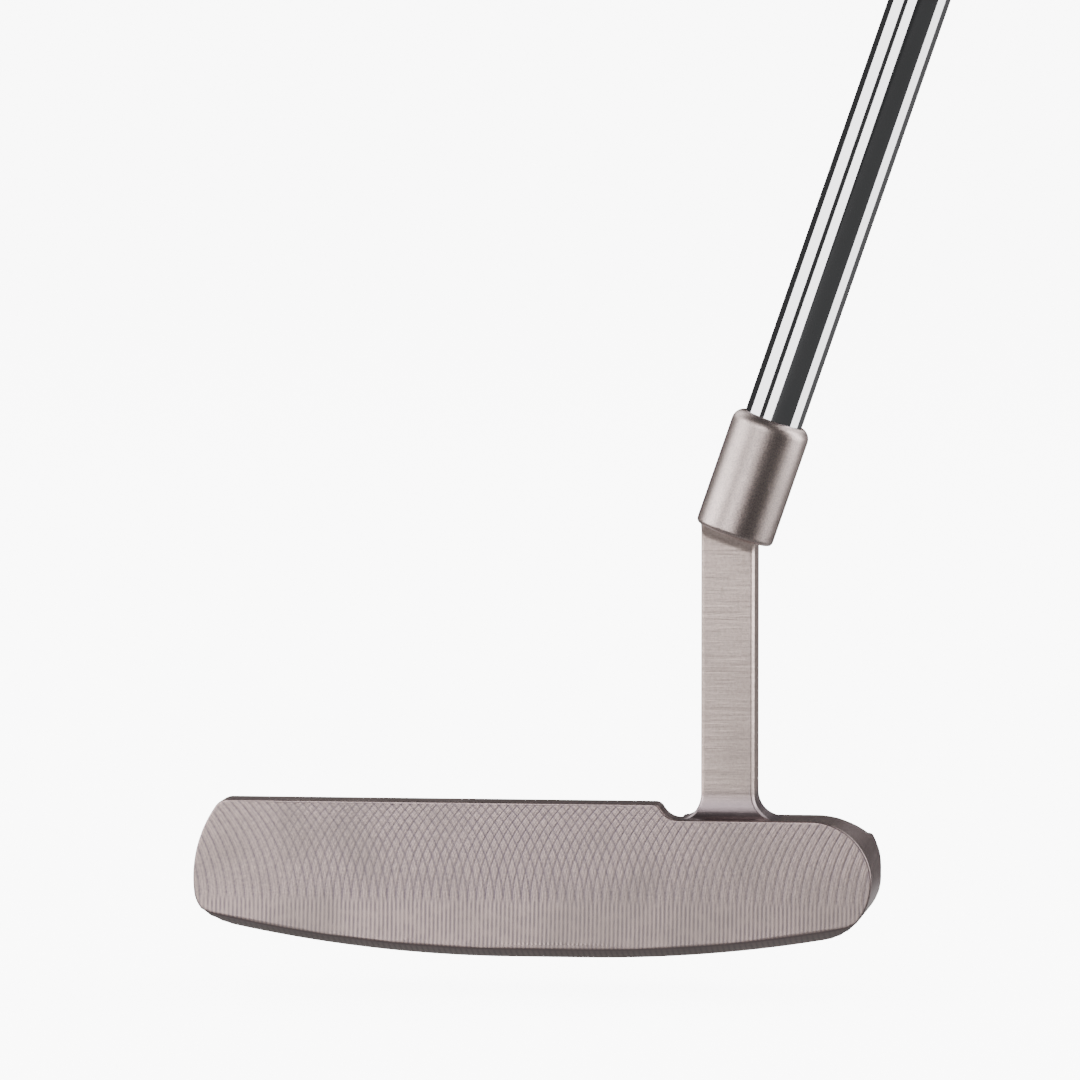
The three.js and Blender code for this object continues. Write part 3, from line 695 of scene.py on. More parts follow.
def neck_steel(settings):
    """A bead-blasted barrel over a post that keeps the lines of its milling, with painted shade at the
    post's foot.
    """
    finish, neck = settings.finish, settings.neck
    graph = Surface("Blasted steel", 1.0)
    where = graph.where
    _, direction = mount("butt_end")
    away = graph.vectors("SUBTRACT", where, shaft_matrix().translation)[0]
    along = graph.vectors("DOT_PRODUCT", away, direction)["Value"]
    start = neck.hosel_height / direction.z
    barrel = graph.fade(along, start - 0.6 * MM, start + 0.6 * MM)
    lines = graph.group("Tool lines", graph.stretched(where, (0.06, 0.06, 1.0)), 1500.0)["Height"]
    grain = graph.noise(where, 4200.0, 3.0, 0.6)
    smudge = graph.smudges(finish)
    mottle = graph.fade(graph.noise(where, 2000.0, 3.0, 0.6), 0.35, 0.65, 0.0, 0.35)
    worn = graph.math("ADD", graph.fade(lines, 0.38, 0.62, 0.0, 0.2), mottle)
    post = graph.blend(worn, finish.post, finish.steel)
    _, _, z = graph.split(where)
    shelf = HeadShape(settings).shelf
    # Painted shade: the post's foot, up to a few millimetres above the shelf, takes the grooves' dark
    # colour.
    painted_foot_shade = graph.fade(z, shelf + 2.0 * MM, shelf + 6.0 * MM, 0.85, 0.0)
    post = graph.blend(painted_foot_shade, post, finish.groove)
    pits = graph.fade(grain, 0.42, 0.62, 0.0, 0.4)
    blasted = graph.blend(pits, finish.blasted, finish.groove)
    tint = graph.blend(barrel, post, blasted)
    tint = graph.blend(smudge, tint, TARNISH)
    rough = graph.math("MULTIPLY_ADD", grain, 0.12, finish.blast_roughness - 0.06)
    rough = graph.math("MULTIPLY_ADD", smudge, 0.2, rough)
    height = graph.math("MULTIPLY", graph.math("SUBTRACT", 1.0, barrel), lines)
    height = graph.math("MULTIPLY_ADD", graph.math("MULTIPLY", grain, barrel), 1.2, height)
    return graph.dress(tint, rough, height, 0.03 * MM)


def plain_metal(name, finish, clean, marked, roughness, haze):
    """Even metal whose handling marks change its colour and dull it."""
    graph = Surface(name, 1.0)
    smudge = graph.smudges(finish)
    tint = graph.blend(smudge, clean, marked)
    return graph.dress(tint, graph.math("MULTIPLY_ADD", smudge, haze, roughness))


def rubber(name, tone, worn, roughness, grain_depth):
    """Rubber with a fine grain, a little paler where it is handled."""
    graph = Surface(name)
    grain = graph.noise(graph.where, 1500.0, 3.0, 0.6)
    wear = graph.fade(graph.noise(graph.where, 28.0, 3.0), 0.4, 0.7)
    rough = graph.math("MULTIPLY_ADD", wear, -0.1, roughness)
    rough = graph.math("MULTIPLY_ADD", grain, 0.1, rough)
    return graph.dress(graph.blend(wear, tone, worn), rough, grain, grain_depth)


def cork():
    """Pale cork with darker pores."""
    graph = Surface("Cork")
    pores = graph.fade(graph.noise(graph.where, 900.0, 4.0, 0.65), 0.52, 0.66)
    tint = graph.blend(pores, (0.46, 0.30, 0.16), (0.16, 0.08, 0.04))
    return graph.dress(tint, 0.9, pores, -0.1 * MM)


def paper_tape():
    """Crinkled masking tape."""
    graph = Surface("Tape")
    crease = graph.noise(graph.stretched(graph.where, (1.0, 1.0, 3.0)), 700.0, 3.0)
    tint = graph.blend(crease, (0.62, 0.55, 0.38), (0.82, 0.76, 0.60))
    return graph.dress(tint, 0.85, crease, 0.05 * MM)


def enamel():
    """White paint that has settled in its groove."""
    graph = Surface("Line paint")
    dust = graph.fade(graph.noise(graph.where, 600.0, 4.0), 0.5, 0.75)
    tint = graph.blend(dust, (0.86, 0.86, 0.83), (0.62, 0.60, 0.56))
    return graph.dress(tint, graph.math("MULTIPLY_ADD", dust, 0.2, 0.35))


# ---- head ----------------------------------------------------------------------------------------


class HeadShape:
    """The head's outline, in the frame of the club, from the sizes in the panel."""

    def __init__(self, settings):
        self.sizes = settings.head
        low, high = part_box("head_body")
        self.toe, self.heel, self.height = low.x, high.x, high.z
        self.foot, self.lean = face_plane()
        self.shelf = self.height - self.sizes.shelf_drop
        neck_low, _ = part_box("plumbers_neck")
        self.step_x = neck_low.x

    def sole(self, x):
        """Height of the sole's lowest line."""
        past = max(0.0, abs(x) - self.sizes.sole_flat / 2)
        return self.sizes.sole_radius - math.sqrt(self.sizes.sole_radius**2 - past**2)

    def rise(self, depth):
        """Rise of the sole behind the leading edge."""
        front = max(0.0, 1.0 - depth / self.sizes.front_roll)
        rear = max(0.0, 1.0 - (self.sizes.depth - depth) / self.sizes.rear_roll)
        return self.sizes.edge_rise * (front**2 + rear**2)

    def corner(self, centre, radius, start, step):
        """The angle on a circle at which it comes clear of the sole's raised edge."""
        angle = start
        while True:
            x = centre[0] + radius * math.cos(math.radians(angle))
            z = centre[1] + radius * math.sin(math.radians(angle))
            if z > self.sole(x) + self.sizes.edge_rise + SOLE_LIP:
                return angle
            angle += step

    def outline(self, rise, inset):
        """Points [x, z] from the toe's corner along the sole and back along the top."""
        height = self.height
        heel_radius = HEEL_ROUND * height
        heel = (self.heel - heel_radius, self.shelf - heel_radius)
        toe_radius = TOE_ROUND * height
        top_radius = TOE_TOP_ROUND * height
        low_radius = TOE_LOWER_ROUND * height
        toe = (self.toe + toe_radius, TOE_CENTRE * height)
        top_reach = toe_radius - top_radius
        top_z = height - top_radius
        top_angle = 180.0 - math.degrees(math.asin((top_z - toe[1]) / top_reach))
        top = (toe[0] + top_reach * math.cos(math.radians(top_angle)), top_z)
        low_reach = toe_radius - low_radius
        low_turn = math.radians(TOE_LOWER_ANGLE)
        low = (toe[0] + low_reach * math.cos(low_turn), toe[1] + low_reach * math.sin(low_turn))
        heel_start = self.corner(heel, heel_radius, -90.0, 1.0)
        toe_end = self.corner(low, low_radius, 270.0, -1.0)
        heel_arc = arc(heel, heel_radius - inset, heel_start, 90.0, 28)
        toe_top = arc(top, top_radius - inset, 90.0, top_angle, 14)
        toe_side = arc(toe, toe_radius - inset, top_angle, TOE_LOWER_ANGLE, 20)
        toe_low = arc(low, low_radius - inset, TOE_LOWER_ANGLE, toe_end, 10)
        both = STEP_HOLLOW + STEP_CREST
        step_angle = math.degrees(math.acos(1.0 - self.sizes.shelf_drop / both))
        step_top = self.step_x - both * math.sin(math.radians(step_angle))
        hollow_centre = (self.step_x, self.shelf + STEP_HOLLOW)
        hollow = arc(hollow_centre, STEP_HOLLOW + inset, -90.0, -90.0 - step_angle, 12)
        crest_centre = (step_top, height - STEP_CREST)
        crest = arc(crest_centre, STEP_CREST - inset, 90.0 - step_angle, 90.0, 8)
        start, end = toe_low[-1][0], heel_arc[0][0]
        sole = []
        for x in np.linspace(start, end, 73):
            curl = max(0.0, 1.0 - min(x - start, end - x) / (6.0 * MM)) ** 2
            lift = max(rise + inset, curl * (self.sizes.edge_rise + SOLE_LIP))
            sole.append((x, self.sole(x) + lift))
        sole[0], sole[-1] = toe_low[-1], heel_arc[0]
        return sole + heel_arc[1:] + hollow + crest + toe_top + toe_side[1:] + toe_low[1:-1]

    def at(self, x, depth, z):
        """A point behind the face, in a block that leans with the loft."""
        return (x, self.foot + depth + z * self.lean, z)


def head_block(shape):
    """The block that the head is milled from, with its face and back edges rounded."""
    sizes = shape.sizes
    edge = sizes.front_round
    stations = [(edge * rise, edge * lack) for rise, lack in rounding(0.0, 90.0, 6)]
    front = stations + [(depth, 0.0) for depth in np.linspace(edge * 2, sizes.front_roll, 9)]
    rear = stations + [(depth, 0.0) for depth in np.linspace(edge * 2, sizes.rear_roll, 9)]
    rear = [(sizes.depth - depth, inset) for depth, inset in rear]
    rings = []
    for depth, inset in front + rear[::-1]:
        ring = shape.outline(shape.rise(depth), inset)
        rings.append([shape.at(x, depth, z) for x, z in ring])
    return loft("milled_head", rings)


def plan_trim(shape):
    """The head's plan with rounded rear corners, tall enough to trim the whole block."""
    sizes = shape.sizes
    radius = sizes.rear_radius
    back = sizes.depth + 0.05 * MM
    left, right = shape.toe, shape.heel
    plan = [(left - MM, -MM), (right + MM, -MM)]
    plan += arc((right - radius, back - radius), radius, 0.0, 90.0, 16)
    plan += arc((left + radius, back - radius), radius, 90.0, 180.0, 16)
    return loft(
        "trim",
        [[shape.at(x, y, z) for x, y in plan] for z in (-MM, shape.height + 2 * MM)],
    )


def rear_pocket(shape, width, front, floor, ceiling):
    """A cutter with rounded front corners, from a front edge to far behind the head."""
    half = width / 2
    back = 3 * shape.sizes.depth
    inner = half - POCKET_ROUND
    plan = arc((-inner, front + POCKET_ROUND), POCKET_ROUND, 180.0, 270.0, 10)
    plan += arc((inner, front + POCKET_ROUND), POCKET_ROUND, 270.0, 360.0, 10)
    plan += [(half, back), (-half, back)]
    return prism("pocket", [(x, shape.foot + y) for x, y in plan], floor, ceiling)


def sight_line_plan(settings, inset):
    """The sight line's outline with round ends."""
    half = settings.head.line_width / 2
    low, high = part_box("sight_line_fill")
    front = arc((0.0, low.y - LINE_REACH + half), half - inset, 180.0, 360.0, 12)
    back = arc((0.0, high.y + LINE_REACH - half), half - inset, 0.0, 180.0, 12)
    return front + back


def milled_head(settings):
    """The head with its pockets, bores and grooves cut."""
    shape = HeadShape(settings)
    sizes, neck, weight = shape.sizes, settings.neck, settings.weight
    head = combine(head_block(shape), plan_trim(shape), "INTERSECT")
    far = 3 * sizes.depth
    blade = sizes.topline + shape.shelf * shape.lean
    neck_left = shape.step_x + neck.toe_fillet
    neck_right = neck_left + neck.width
    neck_back = neck.setback + neck.depth

    def block(low, high):
        return box(
            "block", (low[0], shape.foot + low[1], low[2]), (high[0], shape.foot + high[1], high[2])
        )

    shoulders = block(
        (shape.toe - 0.1, blade, sizes.bumper_height), (shape.heel + 0.1, far, 2 * shape.height)
    )
    step = rear_pocket(shape, sizes.cavity_step, blade, sizes.bumper_step, 2 * shape.height)
    combine(shoulders, step, "UNION")
    heel_block = block(
        (shape.step_x, -0.01, -0.01),
        (shape.heel + 0.1, neck_back + NECK_PAD, shape.height),
    )
    combine(shoulders, heel_block, "DIFFERENCE")
    section = [
        (-0.01, -0.01),
        (sizes.slope_end, -0.01),
        (sizes.slope_end, sizes.bumper_height),
        (neck_back + NECK_PAD, shape.shelf),
        (-0.01, shape.shelf),
    ]
    sides = (sizes.cavity_step / 2, 2 * shape.heel)
    slope = loft("slope", [[(x, shape.foot + y, z) for y, z in section] for x in sides])
    combine(shoulders, slope, "DIFFERENCE")
    combine(head, shoulders, "DIFFERENCE")
    front = sizes.blade + sizes.flange_height * shape.lean
    ceiling = shape.height - sizes.topline_depth
    combine(head, rear_pocket(shape, sizes.cavity, front, sizes.flange_height, ceiling), "DIFFERENCE")
    slack = neck.bore_gap - neck.tenon_shoulder
    socket = block(
        (neck_left - slack, neck.setback - slack, shape.shelf - neck.tenon_depth - neck.bore_gap),
        (neck_right + slack, neck_back + slack, 2 * shape.height),
    )
    combine(head, socket, "DIFFERENCE")
    for side in ("toe", "heel"):
        inner = -weight.recess - weight.head_depth
        seat = inner - weight.ring - 2 * weight.gap
        end = inner - weight.thread_length - weight.gap
        profile = [
            (weight.thread / 2 + weight.gap, end),
            (weight.thread / 2 + weight.gap, seat),
            (weight.head / 2 + weight.gap, seat),
            (weight.head / 2 + weight.gap, 3 * MM),
        ]
        combine(head, turned("bore", profile, weight_matrix(side), 72), "DIFFERENCE")
    low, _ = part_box("sight_line_fill")
    groove = prism("groove", sight_line_plan(settings, 0.0), low.z, 2 * shape.height)
    combine(head, groove, "DIFFERENCE")
    soften(head, sizes.cut_round, 32.0)
    mill_face(head, shape, settings.milling)
    return shade(head, 30.0)


def smooth_step(value, low, high):
    """A smooth rise from 0 to 1 between two values."""
    t = np.clip((value - low) / (high - low), 0.0, 1.0)
    return t * t * (3 - 2 * t)


def arc_heights(x, z, milling):
    """Heights of the milled arcs at points on the face, from -1 in a groove to 0 between."""
    left = np.sqrt(np.maximum(milling.radius**2 - (z - milling.middle) ** 2, 0.0))
    sets = []
    for along, (low, high, start, end) in ((x - left, TOE_ARCS), (x + left, HEEL_ARCS)):
        swell = (0.5 + 0.5 * np.cos(2 * np.pi * along / milling.pitch)) ** 6
        sets.append((start + (end - start) * smooth_step(x, low, high)) * swell)
    upper = np.maximum(*sets)
    lower = 0.4 * (0.5 + 0.5 * np.cos(2 * np.pi * x / milling.low_pitch))
    above = smooth_step(z, milling.seam - SEAM_BELOW, milling.seam + SEAM_ABOVE)
    return -(above * upper + (1 - above) * lower)


def mill_face(head, shape, milling):
    """Replaces the flat face with a fine mesh that carries the cutter's arcs."""
    tilt = math.atan(shape.lean)
    outward = Vector((0.0, -math.cos(tilt), math.sin(tilt)))
    work = bmesh.new()
    work.from_mesh(head.data)
    work.faces.ensure_lookup_table()
    flat = [face for face in work.faces if face.normal.dot(outward) > 0.9999]
    face = max(flat, key=lambda candidate: candidate.calc_area())
    rim_verts = list(face.verts)
    rim = np.array([(vert.co.x, vert.co.z) for vert in rim_verts])
    step = milling.grid
    x = np.arange(rim[:, 0].min(), rim[:, 0].max(), step)
    low_x = np.arange(rim[:, 0].min(), rim[:, 0].max(), milling.low_pitch / 4)
    high_z = np.arange(milling.seam, rim[:, 1].max(), step)
    low_z = np.arange(rim[:, 1].min(), milling.seam, 3 * step)
    upper = np.stack(np.meshgrid(x, high_z), axis=-1).reshape(-1, 2)
    lower = np.stack(np.meshgrid(low_x, low_z), axis=-1).reshape(-1, 2)
    grid = np.concatenate([upper, lower])
    after = np.roll(rim, -1, axis=0)
    nearest = np.full(len(grid), np.inf)
    inside = np.zeros(len(grid), bool)
    for start, end in zip(rim, after):
        run = end - start
        t = np.clip(((grid - start) @ run) / (run @ run), 0.0, 1.0)
        gap = np.linalg.norm(grid - (start + t[:, None] * run), axis=1)
        nearest = np.minimum(nearest, gap)
        crosses = (start[1] > grid[:, 1]) != (end[1] > grid[:, 1])
        at = start[0] + (grid[:, 1] - start[1]) * run[0] / (run[1] or 1.0)
        inside ^= crosses & (grid[:, 0] < at)
    keep = inside & (nearest > 0.6 * step)
    grid, nearest = grid[keep], nearest[keep]
    points = [Vector(point) for point in rim] + [Vector(point) for point in grid]
    ring = [(i, (i + 1) % len(rim)) for i in range(len(rim))]
    flat_points, _, triangles, sources, _, _ = delaunay_2d_cdt(points, ring, [], 1, 1e-7)
    made = []
    fades = np.concatenate([np.zeros(len(rim)), np.clip(nearest / (0.5 * MM), 0.0, 1.0)])
    all_points = np.array([tuple(point) for point in flat_points])
    heights = arc_heights(all_points[:, 0], all_points[:, 1], milling)
    for i, point in enumerate(flat_points):
        origin = sources[i][0] if sources[i] else None
        if origin is not None and origin < len(rim):
            made.append(rim_verts[origin])
            continue
        fade = fades[origin] if origin is not None else 0.0
        lift = outward * float(milling.depth * fade * heights[i])
        at = Vector((point.x, shape.foot + point.y * shape.lean, point.y))
        made.append(work.verts.new(at + lift))
    bmesh.ops.delete(work, geom=[face], context="FACES_ONLY")
    for triangle in triangles:
        fresh = work.faces.new([made[i] for i in triangle])
        fresh.normal_update()
        if fresh.normal.dot(outward) < 0:
            fresh.normal_flip()
    work.to_mesh(head.data)
    work.free()


def sight_line(settings):
    """Paint that fills the groove in the flange, a little hollow along its middle."""
    low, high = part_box("sight_line_fill")
    levels = [
        (low.z, 0.02 * MM),
        (high.z - 0.22 * MM, 0.02 * MM),
        (high.z - 0.10 * MM, 0.03 * MM),
        (high.z - 0.14 * MM, 0.15 * MM),
        (high.z - 0.18 * MM, 0.35 * MM),
        (high.z - 0.20 * MM, 0.60 * MM),
    ]
    rings = [[(x, y, z) for x, y in sight_line_plan(settings, inset)] for z, inset in levels]
    return loft("sight_line_paint", rings)


# ---- neck ----------------------------------------------------------------------------------------


def cut_rectangle(left, right, front, back, cut):
    """A rectangle with its corners cut off and the cuts' own corners slightly rounded."""
    corners = [
        (left + cut, front),
        (right - cut, front),
        (right, front + cut),
        (right, back - cut),
        (right - cut, back),
        (left + cut, back),
        (left, back - cut),
        (left, front + cut),
    ]
    points = []
    for i, corner in enumerate(corners):
        before = Vector(corners[i - 1])
        after = Vector(corners[(i + 1) % 8])
        here = Vector(corner)
        pull = 0.2 * cut
        start = here + (before - here).normalized() * pull
        end = here + (after - here).normalized() * pull
        points += [start, (start + end + 2 * here) / 4, end]
    return points


def neck_and_hosel(settings):
    """The post with its tenon and sweeps, joined to the barrel that holds the shaft."""
    shape = HeadShape(settings)
    neck, shaft = settings.neck, settings.shaft
    matrix = shaft_matrix()
    _, direction = mount("butt_end")
    tangent = direction.x / direction.z
    foot = shape.foot
    left = shape.step_x + neck.toe_fillet
    right = left + neck.width
    front, back = neck.setback, neck.setback + neck.depth
    start = neck.hosel_height / direction.z
    axis_x = matrix.translation.x + neck.hosel_height * tangent
    offset = foot - matrix.translation.y

    def level(height, toe, heel, ahead, behind):
        plan = cut_rectangle(left - toe, right + heel, front - ahead, back + behind, neck.chamfer)
        return [(x, foot + y, height) for x, y in plan]

    def leaning(along, ahead, behind):
        upright, slanted = min(0.0, along), max(0.0, along)
        ring = []
        for x, y in cut_rectangle(left, right, ahead, behind, neck.chamfer):
            z = neck.hosel_height + upright / direction.z + slanted * direction.z
            ring.append((x + slanted * direction.x, foot + y, z - (x - axis_x) * tangent))
        return ring

    shoulder = -neck.tenon_shoulder
    tenon = [
        level(height, shoulder, shoulder, shoulder, shoulder)
        for height in (shape.shelf - neck.tenon_depth, shape.shelf)
    ]
    base = []
    for rise, lack in rounding(0.0, 90.0, 15):
        height = shape.shelf + neck.heel_fillet * rise
        toe, heel = neck.toe_fillet * lack, neck.heel_fillet * lack
        base.append(level(height, toe, heel, neck.front_cove * lack, 0.0))
    sweep = [leaning(-2 * neck.hosel_cove, front, back)]
    for rise, lack in rounding(0.0, 72.0, 9):
        sweep.append(leaning(-neck.hosel_cove * lack, front - neck.hosel_cove * rise, back))
    hosel_back = neck.hosel_diameter / 2 - offset
    inside = (hosel_back - offset) / 2
    shoulders = []
    for turn in np.radians(np.linspace(0.0, 90.0, 15)):
        along = neck.hosel_length * (0.04 + 0.67 * math.sin(turn))
        behind = hosel_back - 0.05 * MM + (back - hosel_back) * math.cos(turn)
        shoulders.append(leaning(along, inside, behind))
    post = loft("neck_and_hosel", tenon + base + sweep + shoulders)
    end = start + neck.hosel_length
    radius = neck.hosel_diameter / 2
    profile = [(0.0, start)]
    profile += arc(
        (radius - neck.bottom_round, start + neck.bottom_round), neck.bottom_round, -90.0, 0.0, 6
    )
    profile += arc((radius - neck.top_round, end - neck.top_round), neck.top_round, 0.0, 86.0, 10)
    profile.append((0.0, end))
    combine(post, turned("barrel", profile, matrix, shaft.segments), "UNION")
    bore_radius = shaft.tip / 2 + neck.bore_gap
    lip = 0.25 * MM
    bore = [
        (bore_radius, start + neck.hosel_floor),
        (bore_radius, end - 2 * lip),
        (bore_radius + lip, end - lip * 0.2),
        (bore_radius + 2 * lip, end + MM),
    ]
    combine(post, turned("bore", bore, matrix, shaft.segments), "DIFFERENCE")
    return shade(post, 34.0)


# ---- shaft and grip ------------------------------------------------------------------------------


def steel_shaft(settings):
    """The bright tube, parallel at the tip and tapered up to the grip."""
    shaft = settings.shaft
    tip, butt, wall = shaft.tip / 2, shaft.butt / 2, shaft.wall
    low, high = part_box("shaft")
    start, end = along_shaft(low.z, tip), along_shaft(high.z, -butt)
    sleeve_low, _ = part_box("grip_sleeve")
    mouth = along_shaft(sleeve_low.z, butt)
    taper_start = start + shaft.parallel
    taper_end = mouth - 2 * shaft.butt
    edge = 0.15 * MM
    outside = [(tip - edge, start), (tip, start + edge)]
    outside += [(tip, along) for along in np.linspace(start + 5 * MM, taper_start, 12)]
    shares = np.linspace(0.0, 1.0, 12)[1:]
    outside += [
        (tip + (butt - tip) * s, taper_start + (taper_end - taper_start) * s) for s in shares
    ]
    outside += [(butt, end - edge), (butt - edge, end)]
    inside = [
        (butt - wall, end),
        (butt - wall, taper_end),
        (tip - wall, taper_start),
        (tip - wall, start),
    ]
    piece = tube("steel_shaft", outside + inside, shaft_matrix(), shaft.segments)
    return shade(piece, 40.0)


def tip_plug(settings):
    """The cork that closes the shaft's tip."""
    shaft = settings.shaft
    radius = shaft.tip / 2 - shaft.wall - 0.3 * MM
    low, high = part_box("shaft_tip_plug")
    start, end = along_shaft(low.z, radius), along_shaft(high.z, -radius)
    edge = 0.5 * MM
    profile = [
        (0.0, start),
        (radius - edge, start),
        (radius, start + edge),
        (radius, end - edge),
        (radius - edge, end),
        (0.0, end),
    ]
    piece = turned("tip_plug", profile, shaft_matrix(), 48)
    return shade(piece, 30.0)


def wound(name, matrix, span, segments, rows, outside, inside):
    """A solid whose outer radius is a function of the height and the turn, hollow if inside > 0."""
    start, end = span
    rings = [(height, outside) for height in np.linspace(start, end, rows)]
    last = (rows - 1) * segments
    faces = []
    for low in range(0, last, segments):
        faces += strip(low, low + segments, segments)
    if inside > 0.0:
        rings += [(start, None), (end, None)]
        bottom, top = last + segments, last + 2 * segments
        faces += strip(bottom, top, segments)
        faces += strip(0, bottom, segments)
        faces += strip(last, top, segments)
    else:
        faces += [tuple(range(segments)), tuple(range(last, last + segments))]
    points = []
    for height, reach in rings:
        for i in range(segments):
            angle = 2 * math.pi * i / segments
            radius = reach(height, i / segments) if reach else inside
            at = Vector((radius * math.cos(angle), radius * math.sin(angle), height))
            points.append(matrix @ at)
    return mesh_object(name, points, faces)


def tape_wrap(settings):
    """Tape wound round the shaft in a spiral, each turn lying on the last one's edge."""
    grip, shaft = settings.grip, settings.shaft
    inner = shaft.butt / 2 + grip.gap
    outer = inner + grip.tape
    low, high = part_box("grip_tape")
    start, end = along_shaft(low.z, outer), along_shaft(high.z, -outer)

    def outside(height, turn):
        lap = ((height - start) / TAPE_STRIP - turn) % 1.0
        return outer - (0.12 * MM if lap < 0.86 else 0.0)

    piece = wound("tape_wrap", shaft_matrix(), (start, end), 64, 260, outside, inner)
    return shade(piece, 20.0)


def grip_bore(settings):
    """The radius inside the grip."""
    return settings.shaft.butt / 2 + 2 * settings.grip.gap + settings.grip.tape


def grip_angles(segments):
    """The angles of the points round the grip."""
    return 2 * np.pi * (np.arange(segments) + 0.5) / segments


def grip_radii(settings, part, angles):
    """The grip's outline at a share of its length, as x and y for each angle."""
    grip = settings.grip
    mouth = grip_bore(settings) + grip.wall
    start = smooth_step(0.0, -0.35, 0.8)
    grow = (smooth_step(part, -0.35, 0.8) - start) / (1 - start)
    bulge = smooth_step(part, 0.72, 0.97)
    half = mouth + (grip.width / 2 - mouth) * grow
    flat = mouth + (grip.flat - mouth) * grow
    back = mouth + (grip.waist - mouth) * grow + (grip.bulge - grip.waist) * bulge
    square = 0.45 * smooth_step(part, 0.0, 0.25)
    cosine, sine = np.cos(angles), np.sin(angles)
    power = np.where(cosine < 0, 1.0 - square, 1.0)
    reach = np.where(cosine < 0, flat, back)
    x = np.sign(cosine) * reach * np.abs(cosine) ** power
    y = np.sign(sine) * half * np.abs(sine) ** power
    return x, y


def rubber_grip(settings):
    """The sleeve, with grooves for the fingers on its back and a plain flat for the thumbs."""
    grip = settings.grip
    matrix = shaft_matrix()
    bore = grip_bore(settings)
    low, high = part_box("grip_sleeve")
    start = along_shaft(low.z, bore + grip.wall)
    end = along_shaft(high.z, -grip.flat)
    angles = grip_angles(120)
    heights = np.concatenate(
        [
            start + np.array([0.0, 0.15, 0.4, 0.8]) * MM,
            np.linspace(start + 1.5 * MM, end - 0.6 * MM, 560),
            end + np.array([-0.3, -0.1, 0.0]) * MM,
        ]
    )

    def drawn_in(radius, distance):
        left = max(0.0, radius - distance) / radius
        return radius * (1.0 - math.sqrt(max(0.0, 1.0 - left**2)))

    rings = []
    for height in heights:
        part = (height - start) / (end - start)
        x, y = grip_radii(settings, part, angles)
        reach = np.hypot(x, y)
        inset = drawn_in(MOUTH_ROUND, height - start) + drawn_in(TAIL_ROUND, end - height)
        phase = (height - start) / grip.groove_pitch
        groove = np.clip(math.cos(2 * math.pi * phase) * 4.0 - 2.6, 0.0, 1.0)
        band = smooth_step(part, 0.05, 0.07) * (1.0 - smooth_step(part, 0.93, 0.95))
        around = smooth_step(np.cos(angles), -0.35, -0.2)
        scale = (reach - inset - grip.groove_depth * groove * band * around) / reach
        x, y = x * scale, y * scale
        rings.append([matrix @ Vector((a, b, height)) for a, b in zip(x, y)])
    sleeve = loft("rubber_grip", rings)
    profile = [(bore, start - MM), (bore, end + MM)]
    combine(sleeve, turned("bore", profile, matrix, 96), "DIFFERENCE")
    return shade(sleeve, 40.0)


def grip_cap(settings):
    """The hard cap on the butt, with a rounded rim and a vent."""
    grip = settings.grip
    matrix = shaft_matrix()
    butt, direction = mount("butt_end")
    end = (butt - matrix.translation).dot(direction)
    foot = end - 4.0 * MM
    x, y = grip_radii(settings, 1.0, grip_angles(120))
    reach = np.hypot(x, y)
    rings = []
    levels = [(foot, 0.25 * MM), (foot + 0.2 * MM, 0.0), (end - CAP_RIM, 0.0)]
    levels += [(end - CAP_RIM * lack, CAP_RIM * rise) for rise, lack in rounding(10.0, 90.0, 9)]
    sunk = end - 0.3 * MM
    levels += [(end, CAP_RIM * 1.6), (sunk, CAP_RIM * 1.8), (sunk, CAP_RIM * 4)]
    for height, inset in levels:
        scale = (reach - inset) / reach
        ring = zip(x * scale, y * scale)
        rings.append([matrix @ Vector((a, b, height)) for a, b in ring])
    cap = loft("grip_cap", rings)
    vent = [
        (grip.vent / 2, foot - MM),
        (grip.vent / 2, end - 0.7 * MM),
        (grip.vent / 2 + 0.5 * MM, end - 0.2 * MM),
        (grip.vent / 2 + 0.5 * MM, end + MM),
    ]
    combine(cap, turned("vent", vent, matrix, 48), "DIFFERENCE")
    return shade(cap, 35.0)


# ---- sole weights --------------------------------------------------------------------------------


def sole_weight(settings, side):
    """A screw-in weight: a turned head with a hexagon socket, over a threaded body."""
    weight = settings.weight
    matrix = weight_matrix(side)
    face = -weight.recess
    inner = face - weight.head_depth
    end = inner - weight.thread_length
    radius = weight.head / 2
    thread = weight.thread / 2
    depth = 0.45 * MM

    def outside(height, turn):
        lap = ((height - end) / weight.pitch - turn) % 1.0
        crest = 1.0 - abs(2.0 * lap - 1.0)
        start = min(1.0, (height - end) / (0.8 * MM))
        return thread - depth * (1.0 - crest) * 0.9 - depth * (1.0 - start)

    body = wound(f"{side}_sole_weight", matrix, (end, inner + 0.2 * MM), 72, 78, outside, 0.0)
    edge = 0.5 * MM
    profile = [(0.0, inner), (radius - 0.2 * MM, inner), (radius, inner + 0.2 * MM)]
    profile += arc((radius - edge, face - edge), edge, 0.0, 90.0, 6)
    ring = radius - 1.4 * MM
    profile += [(ring, face), (ring - 0.15 * MM, face - 0.2 * MM)]
    profile += [(ring - 0.45 * MM, face - 0.2 * MM), (ring - 0.6 * MM, face)]
    fine = ring - 0.8 * MM
    while fine > 3.4 * MM:
        profile += [(fine, face), (fine - 0.11 * MM, face - 0.015 * MM)]
        fine -= 0.22 * MM
    profile.append((0.0, face))
    combine(body, turned("head", profile, matrix, 96), "UNION")
    corner = weight.socket / 2 / math.cos(math.pi / 6)
    floor = face - weight.socket_depth
    combine(body, turned("socket", [(corner, floor), (corner, MM)], matrix, 6), "DIFFERENCE")
    lead = [
        (0.0, floor - 0.7 * MM),
        (weight.socket / 2 - 0.1 * MM, floor + 0.3 * MM),
        (weight.socket / 2 - 0.1 * MM, face - 0.35 * MM),
        (corner + 0.35 * MM, face + 0.25 * MM),
    ]
    combine(body, turned("lead", lead, matrix, 48), "DIFFERENCE")
    return shade(body, 26.0)


